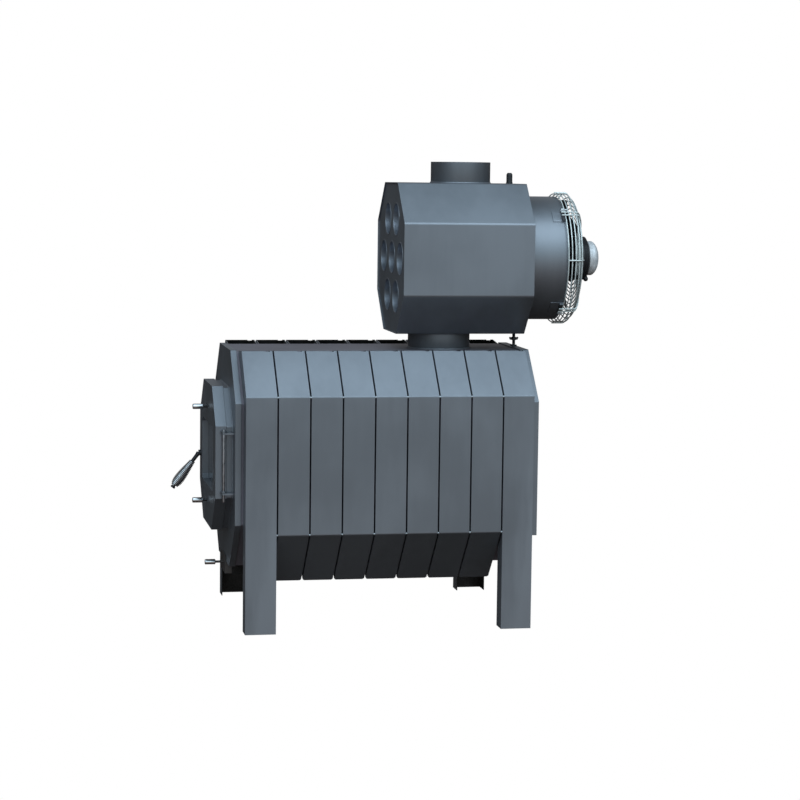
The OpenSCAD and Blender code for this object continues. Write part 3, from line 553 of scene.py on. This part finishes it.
side_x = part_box("leg_front_right")[1].x
channel_low, channel_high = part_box("channel_right_2")
channel_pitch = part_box("channel_right_3")[0].y - channel_low.y
seam_half = (channel_pitch - (channel_high.y - channel_low.y)) / 2
spots = []
for side in (1, -1):
    for number in range(1, channel_count):
        seam_y = channel_front + number * channel_pitch - seam_half
        for fold_z, tilt in ((fold_high, 1), (fold_low, -1)):
            spots.append((
                (side * (side_x - tack_sink), seam_y, fold_z - tilt * tack_sink / 2),
                (side * math.cos(fold_lean), 0, tilt * math.sin(fold_lean))))
tack_metal = plated_steel("tack_metal", (0.62, 0.66, 0.70), 0.40, metal_share=0.5)
fasten(set_on("seam_tacks", tack_mesh, spots, tack_metal), "stove", "zinc_bolt", tack_metal)

# The rear panel is a second tray of sheet behind the last channels, held by hexagon bolts with
# washers. The same bolts hold the guard's clips on the fan duct.
dress("rear_panel", "_sheet", "stove", "body_paint", anthracite, sheet_edge, panel_fold)

bolt_flats = 0.010
bolt_height = 0.006
washer_height = 0.0010
washer_radius = 0.0064
level_gap = 1e-6
work = bmesh.new()
for radius, low, high, sides, easing in (
    (washer_radius, 0.0, washer_height, 24, 0.0003),
    (bolt_flats / 2 / math.cos(math.pi / 6), washer_height, bolt_height, 6, 0.0006),
):
    made = bmesh.ops.create_cone(work, cap_ends=True, segments=sides, radius1=radius, radius2=radius,
                                 depth=high - low, matrix=Matrix.Translation((0, 0, (low + high) / 2)))
    lines = {line for point in made["verts"] for line in point.link_edges}
    top = [line for line in lines if min(point.co.z for point in line.verts) > high - level_gap]
    bmesh.ops.bevel(work, geom=top, offset=easing, segments=2, affect="EDGES")
bolt_mesh = mesh_of(work, "bolt", smooth=40)

duct_low, duct_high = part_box("fan_duct")
fan_z = (duct_low.z + duct_high.z) / 2
duct_radius = (duct_high.z - duct_low.z) / 2
duct_end = duct_high.y
clip_block_radius = 0.2186
clip_block_width = 0.0500
clip_block_low, clip_block_high = duct_end - 0.015, duct_end - 0.004
bolt_turn = math.asin(clip_block_width / 3 / clip_block_radius)
clips = [(math.radians(angle), math.radians(angle) + side * bolt_turn)
         for angle, side in ((46, -1), (140, 1), (-140, -1), (-46, 1))]
rear_low, rear_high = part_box("rear_panel")
firebox_half = 0.320
firebox_cut = 0.159
low_bolt_rise = 0.100


def fan_way(angle):
    """The way out from the fan's axis, at an angle from the top."""
    return Vector((math.sin(angle), 0, math.cos(angle)))


def fan_centre(y):
    """The point of the fan's axis at one Y."""
    return Vector((0, y, fan_z))


block_middle = fan_centre((clip_block_low + clip_block_high) / 2)
spots = [(fan_way(bolt_angle) * clip_block_radius + block_middle, fan_way(bolt_angle))
         for clip_angle, bolt_angle in clips]
for side in (1, -1):
    for bolt_z in (rear_low.z + low_bolt_rise, rear_high.z - firebox_cut):
        spots.append(((side * (firebox_half - firebox_cut / 2), rear_high.y, bolt_z), (0, 1, 0)))
zinc = plated_steel("zinc_plating", (0.90, 0.93, 0.95), 0.34, metal_share=0.45)
fasten(set_on("hexagon_bolts", bolt_mesh, spots, zinc), "stove", "zinc_bolt", zinc, "bolts")

# The smoke pipe rises from the firebox roof inside a welded socket that carries the exchanger.
# The pipe slides in the socket, and beads run round the socket's two ends.
upwards = Vector((0, 0, 1))
backwards = Vector((0, 1, 0))
pipe_sides = 96
bead_points = 300
rim_easing = 0.0008
pipe_wall = 0.0025
socket_wall = 0.0036
socket_bead_rise = 0.3
foot_bead_rise = 0.4
pole_gap = 0.000002


def turned(name, profile, start, along, segments=64, smooth=35.0):
    """A turned piece: its profile, as (radius, distance along the axis), is spun round the axis."""
    axis = Vector(along).normalized()
    side = axis.orthogonal().normalized()
    other = axis.cross(side)
    turns = [math.tau * i / segments for i in range(segments)]
    work = bmesh.new()
    rows = [
        [work.verts.new(Vector(start) + axis * distance + (side * math.cos(t) + other * math.sin(t)) * radius)
         for t in turns]
        for radius, distance in profile
    ]
    for row, following in zip(rows, rows[1:]):
        for i in range(segments):
            j = (i + 1) % segments
            work.faces.new((row[i], row[j], following[j], following[i]))
    bmesh.ops.remove_doubles(work, verts=work.verts, dist=pole_gap)
    open_edges = [line for line in work.edges if line.is_boundary]
    if open_edges:
        bmesh.ops.holes_fill(work, edges=open_edges, sides=segments)
    bmesh.ops.recalc_face_normals(work, faces=work.faces)
    return bpy.data.objects.new(name, mesh_of(work, name, smooth))


def eased(profile, radius, steps=4):
    """A profile whose inner corners are rounded by arcs that touch both sides."""
    points = [Vector(p) for p in profile]
    out = [points[0]]
    for before, corner, after in zip(points, points[1:], points[2:]):
        back, on = before - corner, after - corner
        reach = min(radius, back.length * 0.45, on.length * 0.45)
        a, b = corner + back.normalized() * reach, corner + on.normalized() * reach
        out += [a.lerp(corner, t).lerp(corner.lerp(b, t), t) for t in (i / steps for i in range(steps + 1))]
    return [tuple(p) for p in out + [points[-1]]]


def round_line(centre, radius, axis, steps):
    """Points of a circle round an axis."""
    side = axis.orthogonal().normalized()
    other = axis.cross(side)
    turns = [math.tau * i / steps for i in range(steps)]
    return [Vector(centre) + (side * math.cos(t) + other * math.sin(t)) * radius for t in turns]


def tube_profile(outer, wall, length):
    """Profile of an open tube with eased rims."""
    middle = length / 2
    inner = outer - wall
    corners = [(outer, middle), (outer, length), (inner, length), (inner, 0), (outer, 0), (outer, middle)]
    return eased(corners, rim_easing)


def upright_size(node):
    """The middle of the foot, the radius and the height of a round piece that stands upright."""
    low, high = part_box(node)
    foot = Vector(((low.x + high.x) / 2, (low.y + high.y) / 2, low.z))
    return foot, (high.x - low.x) / 2, high.z - low.z


def upright_tube(node, wall, slot, finish):
    """A round pipe in the stove's middle plane. Returns the middle of its foot, and its radius."""
    foot, radius, height = upright_size(node)
    foot.x = 0.0
    tube = turned(node + "_tube", tube_profile(radius, wall, height), foot, upwards, pipe_sides)
    fasten(tube, "stove", slot, finish, node)
    return foot, radius


# Darker smoke-pipe paint. On the riser socket it is partly painted shade, where the exchanger shadows the
# socket.
smoke_paint_and_shade = sprayed_paint("smoke_pipe_paint_and_shade", (0.15, 0.157, 0.170), 0.66, 0.34)
socket_foot, socket_radius = upright_tube("riser_socket", socket_wall, "body_paint", smoke_paint_and_shade)
upright_tube("firebox_pipe", pipe_wall, "pipe_paint", soot_and_painted_shade)
exchanger_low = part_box("exchanger_shell")[0]
bead_rise = bead_radius * socket_bead_rise
bead_heights = (socket_foot.z + bead_rise, exchanger_low.z - bead_rise)
weld("riser_socket_welds", [
    round_line((0, socket_foot.y, z), socket_radius, upwards, bead_points) for z in bead_heights])

# The heat exchanger is an octagonal drum of sheet between two tube plates. Seven tubes run through
# it, each welded to the plates at both ends, and their bores are a little lighter than the drum.
drum_fold = 0.005
drum_smooth = 25.0
for node in ("exchanger_shell", "exchanger_front", "exchanger_rear"):
    dress(node, "_sheet", "stove", "body_paint", anthracite, sheet_edge, drum_fold, drum_smooth)
tube_low, tube_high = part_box("heat_tubes")
tube_radius = 0.054
tube_wall = 0.0025
tube_pitch = 0.148
tube_bead = 0.0014
tube_bead_sink = 0.0002
tube_places = [(0.0, 0.0)] + [
    (tube_pitch * math.cos(math.radians(a)), tube_pitch * math.sin(math.radians(a)))
    for a in range(0, 360, 60)
]
tube_paint = sprayed_paint("tube_bore_paint", (0.30, 0.33, 0.38), 0.75, 0.36)
tube_outline = tube_profile(tube_radius, tube_wall, tube_high.y - tube_low.y)
work = bmesh.new()
for x, z in tube_places:
    tube = turned("tube", tube_outline, (x, tube_low.y, fan_z + z), backwards, segments=72)
    work.from_mesh(tube.data)
    bpy.data.objects.remove(tube)
tubes = bpy.data.objects.new("heat_tubes_steel", mesh_of(work, "heat_tubes_steel", smooth=35))
fasten(tubes, "stove", "pipe_paint", tube_paint, "heat_tubes")
weld("heat_tube_welds", [
    round_line((x, y, fan_z + z), tube_radius - tube_bead_sink, backwards, steps=220)
    for x, z in tube_places for y in (tube_low.y, tube_high.y)], tube_bead)

# The flue spigot is a short pipe in the socket's paint, welded to the drum's top with one bead
# round its foot. The flue slides over it.
spigot_foot, spigot_radius = upright_tube("flue_spigot", pipe_wall, "pipe_paint", smoke_paint_and_shade)
bead_middle = spigot_foot + upwards * bead_radius * foot_bead_rise
weld("flue_spigot_weld", [round_line(bead_middle, spigot_radius, upwards, bead_points)])

# The levelling stud is a black threaded rod with a foot flange and a wing nut. It takes up the
# gap between the rear panel and the drum.
black_fitting = sprayed_paint("black_fitting_paint", (0.030, 0.030, 0.033), 0.25, 0.38)
stud_low, stud_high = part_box("levelling_stud")
stud_y = (stud_low.y + stud_high.y) / 2
stud_length = stud_high.z - stud_low.z
stud_radius = 0.0055
stud_sides = 32
thread_pitch = 0.00175
thread_depth = 0.0009
flange_height = 0.0037
thread_start = flange_height + 0.001
stud_profile = [(0, 0), (stud_radius * 2, 0), (stud_radius * 2, flange_height), (stud_radius, flange_height)]
for i in range(int((stud_length - thread_start) / thread_pitch)):
    at = thread_start + i * thread_pitch
    stud_profile += [(stud_radius, at), (stud_radius - thread_depth, at + thread_pitch / 2)]
stud_profile += [(stud_radius, stud_length), (0, stud_length)]
wing_z = stud_low.z + 0.0196
wing_reach = (stud_high.y - stud_low.y) / 2
wing_height = 0.011
wing_thickness = 0.0034
nut_profile = eased([(0, 0), (0.0085, 0), (0.0075, wing_height), (0, wing_height)], radius=0.001)
work = bmesh.new()
for spare in (
    turned("levelling_stud_rod", stud_profile, (0, stud_y, stud_low.z), upwards, stud_sides, smooth=25.0),
    turned("wing_nut", nut_profile, (0, stud_y, wing_z), upwards, stud_sides),
):
    work.from_mesh(spare.data)
    bpy.data.objects.remove(spare)
wing_outline = [
    (0.004, 0.0), (0.0135, 0.0015), (wing_reach - 0.0006, 0.006), (wing_reach, 0.0095),
    (wing_reach - 0.002, wing_height), (0.011, 0.0105), (0.004, 0.008),
]
for side in (1, -1):
    rows = [
        [work.verts.new((x, stud_y + side * reach, wing_z + rise)) for reach, rise in wing_outline]
        for x in (-wing_thickness / 2, wing_thickness / 2)
    ]
    work.faces.new(rows[0])
    work.faces.new(list(reversed(rows[1])))
    for i in range(len(wing_outline)):
        j = (i + 1) % len(wing_outline)
        work.faces.new((rows[0][j], rows[0][i], rows[1][i], rows[1][j]))
bmesh.ops.recalc_face_normals(work, faces=work.faces)
stud = bpy.data.objects.new("levelling_stud_wing", mesh_of(work, "levelling_stud_wing", smooth=30))
fasten(stud, "stove", "black_fitting", black_fitting, "levelling_stud")

# The sensor sleeve is a black moulded cap over the temperature sensor at the drum's rear. It has a
# short collar at its foot and a tapered top.
moulded = sprayed_paint("black_moulding", (0.018, 0.018, 0.019), 0.0, 0.52)
sensor_foot, sensor_radius, sensor_height = upright_size("sensor_sleeve")
sleeve_step = 0.001
sleeve_profile = eased([
    (0, 0), (sensor_radius, 0), (sensor_radius, 0.004), (sensor_radius - sleeve_step, 0.005),
    (sensor_radius - sleeve_step, sensor_height - 0.006), (sensor_radius * 0.62, sensor_height),
    (0, sensor_height),
], radius=0.0012)
sleeve = turned("sensor_sleeve_cap", sleeve_profile, sensor_foot, upwards, segments=40)
fasten(sleeve, "stove", "black_plastic", moulded, "sensor_sleeve")

# The fan duct is a tube of rolled sheet, welded by its foot to the rear tube plate.
# Four painted straps with black blocks at their ends carry the guard, and bright hooks hold it.
duct_profile = tube_profile(duct_radius, pipe_wall, duct_end - duct_low.y)
duct = turned("fan_duct_tube", duct_profile, fan_centre(duct_low.y), backwards, segments=144)
fasten(duct, "stove", "body_paint", anthracite, "fan_duct")
duct_bead_y = duct_low.y + bead_radius * foot_bead_rise
weld("fan_duct_weld", [round_line(fan_centre(duct_bead_y), duct_radius, backwards, steps=420)])
strap_edge = 0.0006
block_edge_y = clip_block_low - 0.0002
clip_straps = dress("guard_clips", "_strap", "stove", "black_fitting", black_fitting, strap_edge)
clip_straps.data.materials.append(anthracite)
for face in clip_straps.data.polygons:
    face.material_index = 0 if face.center.y > block_edge_y else 1

# The guard is a basket of bright wire: closed rings that step back round the duct's end and dome
# in to the motor, with single and double spokes welded over them.
guard_radius = 0.217
guard_hub_radius = 0.080
guard_front = duct_end - 0.002
guard_bend = duct_end + 0.035
guard_dome = 0.028
dome_end = guard_bend + guard_dome
dome_width = guard_radius - guard_hub_radius
ring_wire = 0.002
spoke_wire = 0.0023
hook_wire = 0.0026
straight_rings = 3
dome_rings = 11
dome_steps = 10
pair_half = 0.0065
spoke_sink = 0.0004


def dome_point(angle):
    """Radius and Y of the dome's side outline, from its bend at 0 to its middle ring at a right angle."""
    radius = guard_hub_radius + dome_width * math.cos(angle)
    return Vector((radius, guard_bend + guard_dome * math.sin(angle)))


straight = [
    Vector((guard_radius, guard_front + (guard_bend - guard_front) * i / straight_rings))
    for i in range(straight_rings)
]
ring_places = straight + [dome_point(math.acos(1 - i / dome_rings)) for i in range(dome_rings + 1)]
guard_wire = plated_steel("guard_wire_zinc", (0.93, 0.99, 0.97), 0.34, metal_share=0.35)
ring_lines = [round_line(fan_centre(p.y), p.x, backwards, steps=128) for p in ring_places]
rings = wires("guard_ring_wires", ring_lines, guard_wire, ring_wire)
fasten(rings, "stove", "guard_wire", guard_wire, "guard_rings")

spoke_lift = ring_wire + spoke_wire - spoke_sink
lifted = [p + Vector((spoke_lift, 0)) for p in straight]
for i in range(dome_steps + 1):
    angle = math.pi / 2 * i / dome_steps
    outward = Vector((guard_dome * math.cos(angle), dome_width * math.sin(angle))).normalized()
    lifted.append(dome_point(angle) + outward * spoke_lift)


def spoke(angle, shift, start):
    """The line of one spoke wire, turned round the fan's axis."""
    run = start + lifted
    fine = [run[0]]
    for a, b in zip(run, run[1:]):
        fine += [a.lerp(b, k / 3) for k in range(1, 4)]
    spin = Matrix.Rotation(angle, 4, "Y")
    return [spin @ Vector((shift, 0, p.x)) + fan_centre(p.y) for p in fine]


hold = [Vector((lifted[0].x, clip_block_low))]
spoke_lines = [spoke(math.radians(a), 0.0, []) for a in (0, 90, 180, 270)]
spoke_lines += [spoke(clip_angle, s * pair_half, hold) for clip_angle, bolt_angle in clips for s in (1, -1)]
spokes = wires("guard_spoke_wires", spoke_lines, guard_wire, spoke_wire, sides=10, closed=False)
fasten(spokes, "stove", "guard_wire", guard_wire, "guard_spokes")

hook_path = (
    (clip_block_radius - 0.002, clip_block_high - 0.001), (guard_radius + 0.0045, clip_block_high + 0.003),
    (guard_radius + 0.0050, clip_block_high + 0.009), (guard_radius + 0.0005, clip_block_high + 0.012),
)
hook_lines = [
    [fan_way(bolt_angle) * reach + fan_centre(y) for reach, y in hook_path]
    for clip_angle, bolt_angle in clips
]
hooks = wires("guard_hooks", hook_lines, zinc, hook_wire, sides=10, closed=False)
fasten(hooks, "stove", "zinc_bolt", zinc)

# The fan motor is a black casting that hangs on the guard's middle ring by a flange. Its wide ring
# behind the guard tapers to a bright domed cap, and the cable enters through a gland on its rim.
motor_low, motor_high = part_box("fan_motor")
motor_black = sprayed_paint("motor_black_paint", (0.022, 0.022, 0.025), 0.2, 0.40)
motor_radius = 0.074
hub_radius = 0.062
bore_radius = 0.00608
bore_depth = 0.026
boss_y = motor_low.y
bore_y = boss_y + bore_depth
flange_low, flange_high = dome_end - 0.004, dome_end - 0.002
motor_y = dome_end + 0.022
motor_end = motor_high.y
motor_depth = motor_end - motor_y
groove = 0.0018
motor_rim = [(motor_radius, motor_y), (motor_radius, motor_y + motor_depth * 0.22)]
for share in (0.28, 0.44, 0.60):
    for sunk, at in ((groove, 0.0), (groove * 0.3, 0.04), (groove * 0.3, 0.11)):
        motor_rim.append((motor_radius - sunk, motor_y + motor_depth * (share + at)))
motor_profile = [
    (bore_radius, bore_y), (bore_radius, boss_y), (hub_radius - 0.003, boss_y), (hub_radius, boss_y + 0.003),
    (hub_radius, flange_low), (guard_hub_radius, flange_low), (guard_hub_radius, flange_high),
    (hub_radius, flange_high), (hub_radius, motor_y), *motor_rim,
    (0.0602, motor_end - 0.0004), (0.0590, motor_end), (0.03, motor_end), (0, motor_end),
    (0, bore_y), (bore_radius, bore_y),
]
motor_corners = [(radius, y - boss_y) for radius, y in motor_profile]
motor_outline = eased(motor_corners, radius=0.0008)
motor = turned("fan_motor_casting", motor_outline, fan_centre(boss_y), backwards, segments=96)
fasten(motor, "stove", "motor_black", motor_black, "fan_motor")

cap_low, cap_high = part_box("motor_cap")
cap_radius = cap_high.x
cap_depth = cap_high.y - cap_low.y
cap_rim = 0.0005
cap_shares = ((1.0, 0.42), (0.97, 0.52), (0.88, 0.66), (0.74, 0.80), (0.56, 0.90), (0.32, 0.97), (0, 1))
cap_corners = [(0, 0), (cap_radius - cap_rim, 0), (cap_radius, cap_rim * 4)]
cap_corners += [(cap_radius * wide, cap_depth * deep) for wide, deep in cap_shares]
cap_metal = plated_steel("cap_metal", (0.95, 0.96, 0.98), 0.45, metal_share=0.20)
cap_outline = eased(cap_corners, radius=0.006, steps=5)
cap = turned("motor_cap_dome", cap_outline, fan_centre(cap_low.y), backwards, segments=96)
fasten(cap, "stove", "cap_aluminium", cap_metal, "motor_cap")

gland_low, gland_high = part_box("cable_gland")
gland_way = fan_way(math.radians(150))
gland_y = (gland_low.y + gland_high.y) / 2
gland_radius = 0.008
gland_start = motor_radius - 0.008
gland_length = 0.020
gland_shares = (
    (0, 0), (0.8, 0), (0.8, 0.45), (1, 0.47), (1, 0.8), (0.72, 1), (0.4, 1), (0.36, 0.7), (0, 0.7))
gland_corners = [(gland_radius * wide, gland_length * far) for wide, far in gland_shares]
gland_foot = fan_centre(gland_y) + gland_way * gland_start
gland_outline = eased(gland_corners, radius=0.0006)
gland = turned("cable_gland_nut", gland_outline, gland_foot, gland_way, segments=24)
fasten(gland, "stove", "black_plastic", moulded, "cable_gland")

# The fan rotor is a pressed hub with seven twisted, slightly cupped blades. It turns on the motor's
# shaft just inside the duct.
blade_count = 7
blade_tip = 0.197
blade_root = hub_radius - 0.004
root_pitch, tip_pitch = 44, 22
root_chord, tip_chord = 0.062, 0.174
tip_sweep = -0.34
blade_cup = 0.004
blade_steps = 10
chord_steps = 8
blade_thickness = 0.0025
rotor_low, rotor_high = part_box("fan_rotor")
hub_length = rotor_high.y - rotor_low.y
hub_middle = rotor_low.y + hub_length / 2
deepest = hub_length / 2 - 0.001
hub_profile = eased([
    (0, 0), (hub_radius * 0.7, 0), (hub_radius, hub_length * 0.18), (hub_radius, hub_length - 0.002),
    (hub_radius - 0.002, hub_length), (0.02, hub_length), (0, hub_length)], radius=0.004)
hub = turned("fan_hub", hub_profile, fan_centre(rotor_low.y), backwards, segments=72)
work = bmesh.new()
work.from_mesh(hub.data)
bpy.data.objects.remove(hub)


def blade_point(spin, face, u, c):
    """A point on one face of a blade, at share u of its length and c of its width."""
    radius = blade_root + (blade_tip - blade_root) * u
    pitch = math.radians(root_pitch + (tip_pitch - root_pitch) * u)
    chord = root_chord + (tip_chord - root_chord) * u
    cup = blade_cup * (1 - 4 * c * c)
    across = c * chord * math.cos(pitch) + cup * math.sin(pitch)
    deep = c * chord * math.sin(pitch) - cup * math.cos(pitch) + face * blade_thickness / 2
    deep = max(-deepest, min(deepest, deep))
    angle = across / radius + tip_sweep * u * u
    return spin @ (fan_way(angle) * radius) + fan_centre(hub_middle + deep)


rim = [(0, k) for k in range(chord_steps)]
rim += [(i, chord_steps) for i in range(blade_steps)]
rim += [(blade_steps, k) for k in range(chord_steps, 0, -1)]
rim += [(i, 0) for i in range(blade_steps, 0, -1)]
for number in range(blade_count):
    spin = Matrix.Rotation(math.tau * number / blade_count, 4, "Y")
    top, bottom = [
        [[work.verts.new(blade_point(spin, face, i / blade_steps, k / chord_steps - 0.5))
          for k in range(chord_steps + 1)] for i in range(blade_steps + 1)]
        for face in (1, -1)
    ]
    for i in range(blade_steps):
        for k in range(chord_steps):
            for rows, order in ((top, 1), (bottom, -1)):
                quad = (rows[i][k], rows[i][k + 1], rows[i + 1][k + 1], rows[i + 1][k])
                work.faces.new(quad[::order])
    for (i, k), (m, n) in zip(rim, rim[1:] + rim[:1]):
        work.faces.new((top[m][n], top[i][k], bottom[i][k], bottom[m][n]))
bmesh.ops.recalc_face_normals(work, faces=work.faces)
rotor = bpy.data.objects.new("fan_rotor_blades", mesh_of(work, "fan_rotor_blades", smooth=35))
fasten(rotor, "fan", "motor_black", motor_black, "fan_rotor")


def bar_profile(radius, length, easing):
    """Profile of a round bar with eased ends."""
    return eased([(0, 0), (radius, 0), (radius, length), (0, length)], easing)


bright_bar = plated_steel("drawn_bright_bar", (0.50, 0.50, 0.52), 0.30, brushed=0.12)
shaft_radius = 0.006
shaft_low, shaft_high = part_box("fan_shaft")
shaft_profile = bar_profile(shaft_radius, shaft_high.y - shaft_low.y, easing=0.001)
shaft = turned("fan_shaft_bar", shaft_profile, fan_centre(shaft_low.y), backwards, segments=32)
fasten(shaft, "fan", "rod_steel", bright_bar, "fan_shaft")

# The hinge: two flat ears welded to the front panel, two on the door, and one bright rod dropped
# through all four, which stands out below.
ear_edge = 0.0008
for node, body in (("hinge_ears", "stove"), ("door_ears", "door")):
    dress(node, "_plate", body, "body_paint", anthracite, ear_edge)
rod_foot, rod_radius, rod_length = upright_size("hinge_rod")
rod_profile = bar_profile(rod_radius, rod_length, easing=0.0016)
rod = turned("hinge_rod_bar", rod_profile, rod_foot, upwards, segments=40)
fasten(rod, "stove", "rod_steel", bright_bar, "hinge_rod")

# The door is a folded octagonal tray with a deep window recess and guides for the air slides. An
# inner plate stiffens it and holds the glass, and a braided rope seal runs round the plate.
door_fold = 0.003
pane_edge = 0.0006
for node, finish in (("door_shell", anthracite), ("door_liner", burnt_and_shaded_paint)):
    dress(node, "_sheet", "door", "body_paint", finish, sheet_edge, door_fold)

smoked, pane = new_finish("smoked_glass")
haze = pane.noise(pane.place(), scale=14.0, detail=3.0)
clear_tone, hazy_tone = (0.015, 0.015, 0.017, 1), (0.035, 0.032, 0.030, 1)
pane.show("ShaderNodeBsdfPrincipled", {
    "Base Color": pane.tint(pane.step(haze, 0.3, 0.8), clear_tone, hazy_tone),
    "Roughness": 0.05 + haze * 0.05,
    "IOR": 1.52,
    "Transmission Weight": 0.35})
dress("door_glass", "_pane", "door", "window_glass", smoked, pane_edge)

rope_low, rope_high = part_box("door_gasket")
rope_inset = 0.008
rope_half_width = 0.004
rope_half_depth = (rope_high.y - rope_low.y) / 2
rope_step = 0.0014
strand_radius = 0.0019
strand_count = 3
lay_length = 0.013
half_width = Vector((rope_half_width, 0, rope_half_width))
rope_outline = octagon(rope_low + half_width, rope_high - half_width, inner_cut(rope_inset),
                       (rope_low.y + rope_high.y) / 2)
rope_line = spaced(rope_outline, rope_step)
rope_turns = round(len(rope_line) * rope_step / lay_length)
rope_lines = []
for strand in range(strand_count):
    points = []
    for i, point in enumerate(rope_line):
        step = rope_line[(i + 1) % len(rope_line)] - point
        outward = backwards.cross(step.normalized())
        phase = math.tau * (rope_turns * i / len(rope_line) + strand / strand_count)
        wide = (rope_half_width - strand_radius) * math.cos(phase)
        deep = (rope_half_depth - strand_radius) * math.sin(phase)
        points.append(point + outward * wide + backwards * deep)
    rope_lines.append(points)
rope_yarn, yarn = new_finish("glass_fibre_rope")
place = yarn.place()
fuzz = yarn.noise(place, scale=700.0, detail=3.0)
stain = yarn.noise(place, scale=12.0, detail=3.0)
clean_yarn, stained_yarn = (0.62, 0.60, 0.55, 1), (0.22, 0.20, 0.18, 1)
yarn.show("ShaderNodeBsdfPrincipled", {
    "Base Color": yarn.tint(yarn.step(stain, 0.45, 0.75), clean_yarn, stained_yarn),
    "Roughness": 0.85 + (fuzz - 0.5) * 0.1,
    "Sheen Weight": 0.3,
    "Normal": yarn.relief(0.5, 0.0004, fuzz)})
rope = wires("door_rope_seal", rope_lines, rope_yarn, strand_radius, sides=6)
fasten(rope, "door", "rope_seal", rope_yarn, "door_gasket")

# The latch: a spindle through the door turns a tongue behind the frame. Its handle is a rod that
# slopes forward and down. Past a plain dark neck it is wound with bright spring wire that swells
# towards the end, so that the hand finds it cool.
lever_edge = 0.0006
blackened = sprayed_paint("blackened_steel", (0.045, 0.045, 0.048), 0.7, 0.34)
dress("latch_lever", "_rod", "latch", "lever_steel", blackened, lever_edge)
door_low, door_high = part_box("door_shell")
grip_slope = math.radians(53)
grip_length = 0.150
grip_neck = 0.008
grip_belly = 0.0178
grip_collar = 0.006
wire_allowance = 0.0018
coil_wire = 0.0023
coil_turns = 20
steps_per_turn = 28
neck_share = 0.2
belly_share = 0.78
core_steps = 28
core_gap = 0.0012
latch_x = -0.226
latch_z = (door_low.z + door_high.z) / 2 - 0.026
grip_axis = Vector((0, -math.cos(grip_slope), -math.sin(grip_slope)))
grip_side = Vector((0, math.sin(grip_slope), -math.cos(grip_slope)))
grip_start = Vector((latch_x, door_low.y - grip_neck * math.sin(grip_slope) - 0.0005, latch_z))
core_start = grip_start + grip_axis * grip_collar
coil_start = 2 * wire_allowance
coil_run = grip_length - 2 * grip_collar - 2 * coil_start
core_end = grip_length - grip_collar


def grip_radius(u):
    """Radius of the wound grip at share u of its length."""
    if u < belly_share:
        swell = (1 - math.cos(math.pi * u / belly_share)) / 2
    else:
        swell = math.sqrt(max(0.0, 1 - ((u - belly_share) / (1 - belly_share)) ** 2))
    return grip_neck - wire_allowance + (grip_belly - grip_neck) * swell


coil_points = []
for i in range(coil_turns * steps_per_turn + 1):
    turns = i / steps_per_turn
    u = neck_share + (1 - neck_share) * turns / coil_turns
    across = Vector((math.cos(math.tau * turns), 0, 0)) + grip_side * math.sin(math.tau * turns)
    coil_points.append(core_start + across * grip_radius(u) + grip_axis * (coil_start + coil_run * u))
core_profile = [(0, 0), (0.0072, 0), (0.0066, coil_run * neck_share / 2)]
for i in range(core_steps + 1):
    u = neck_share + (1 - neck_share) * i / core_steps
    core_profile.append((grip_radius(u) - core_gap, coil_start + coil_run * u))
core_profile += [(0.0078, core_end - 0.0030), (0.0070, core_end - 0.0010), (0.0045, core_end), (0, core_end)]
core = turned("latch_grip_core", core_profile, core_start, grip_axis, segments=32)
fasten(core, "latch", "lever_steel", blackened)
chrome = plated_steel("bright_chrome", (0.90, 0.91, 0.93), 0.12)
coil = wires("latch_grip_coil", [coil_points], chrome, coil_wire, sides=10, closed=False)
fasten(coil, "latch", "knob_chrome", chrome, "latch_grip")

# Air slides: flat blackened plates behind the door sheet, each moved by a stem through a slot.
# Every stem ends in a turned, chromed knob with eased ends, and so does the ash drawer's rod.
slide_edge = 0.0004
knob_easing = 0.0022
knob_shares = ((0, 0), (0.55, 0), (1, 0.045), (1, 0.93), (0.86, 1), (0, 1))
for node, body in (("upper_slide", "upper_air"), ("lower_slide", "lower_air")):
    dress(node, "_plate", body, "lever_steel", blackened, slide_edge)
for node, body in (("upper_knob", "upper_air"), ("lower_knob", "lower_air"), ("ash_knob", "drawer")):
    knob_low, knob_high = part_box(node)
    knob_radius = (knob_high.x - knob_low.x) / 2
    knob_length = knob_high.y - knob_low.y
    knob_corners = [(knob_radius * wide, knob_length * far) for wide, far in knob_shares]
    knob_root = ((knob_low.x + knob_high.x) / 2, knob_high.y, (knob_low.z + knob_high.z) / 2)
    knob_outline = eased(knob_corners, knob_easing, steps=6)
    knob = turned(node + "_turned", knob_outline, knob_root, -backwards, segments=48)
    fasten(knob, body, "knob_chrome", chrome, node)

# The ash drawer is an open tray of thin sheet with a front plate and a pull rod. It runs in a box
# that hangs under the firebox floor, below the grate's slots.
tray_edge = 0.0005
# The ash box and the drawer are finished near black as painted shade under the front panel; on the box the
# finish also stands for soot.
for node, body, slot, finish in (
    ("ash_box", "stove", "pipe_paint", soot_and_painted_shade),
    ("ash_drawer", "drawer", "body_paint", burnt_and_shaded_paint),
):
    dress(node, "_sheet", body, slot, finish, tray_edge)
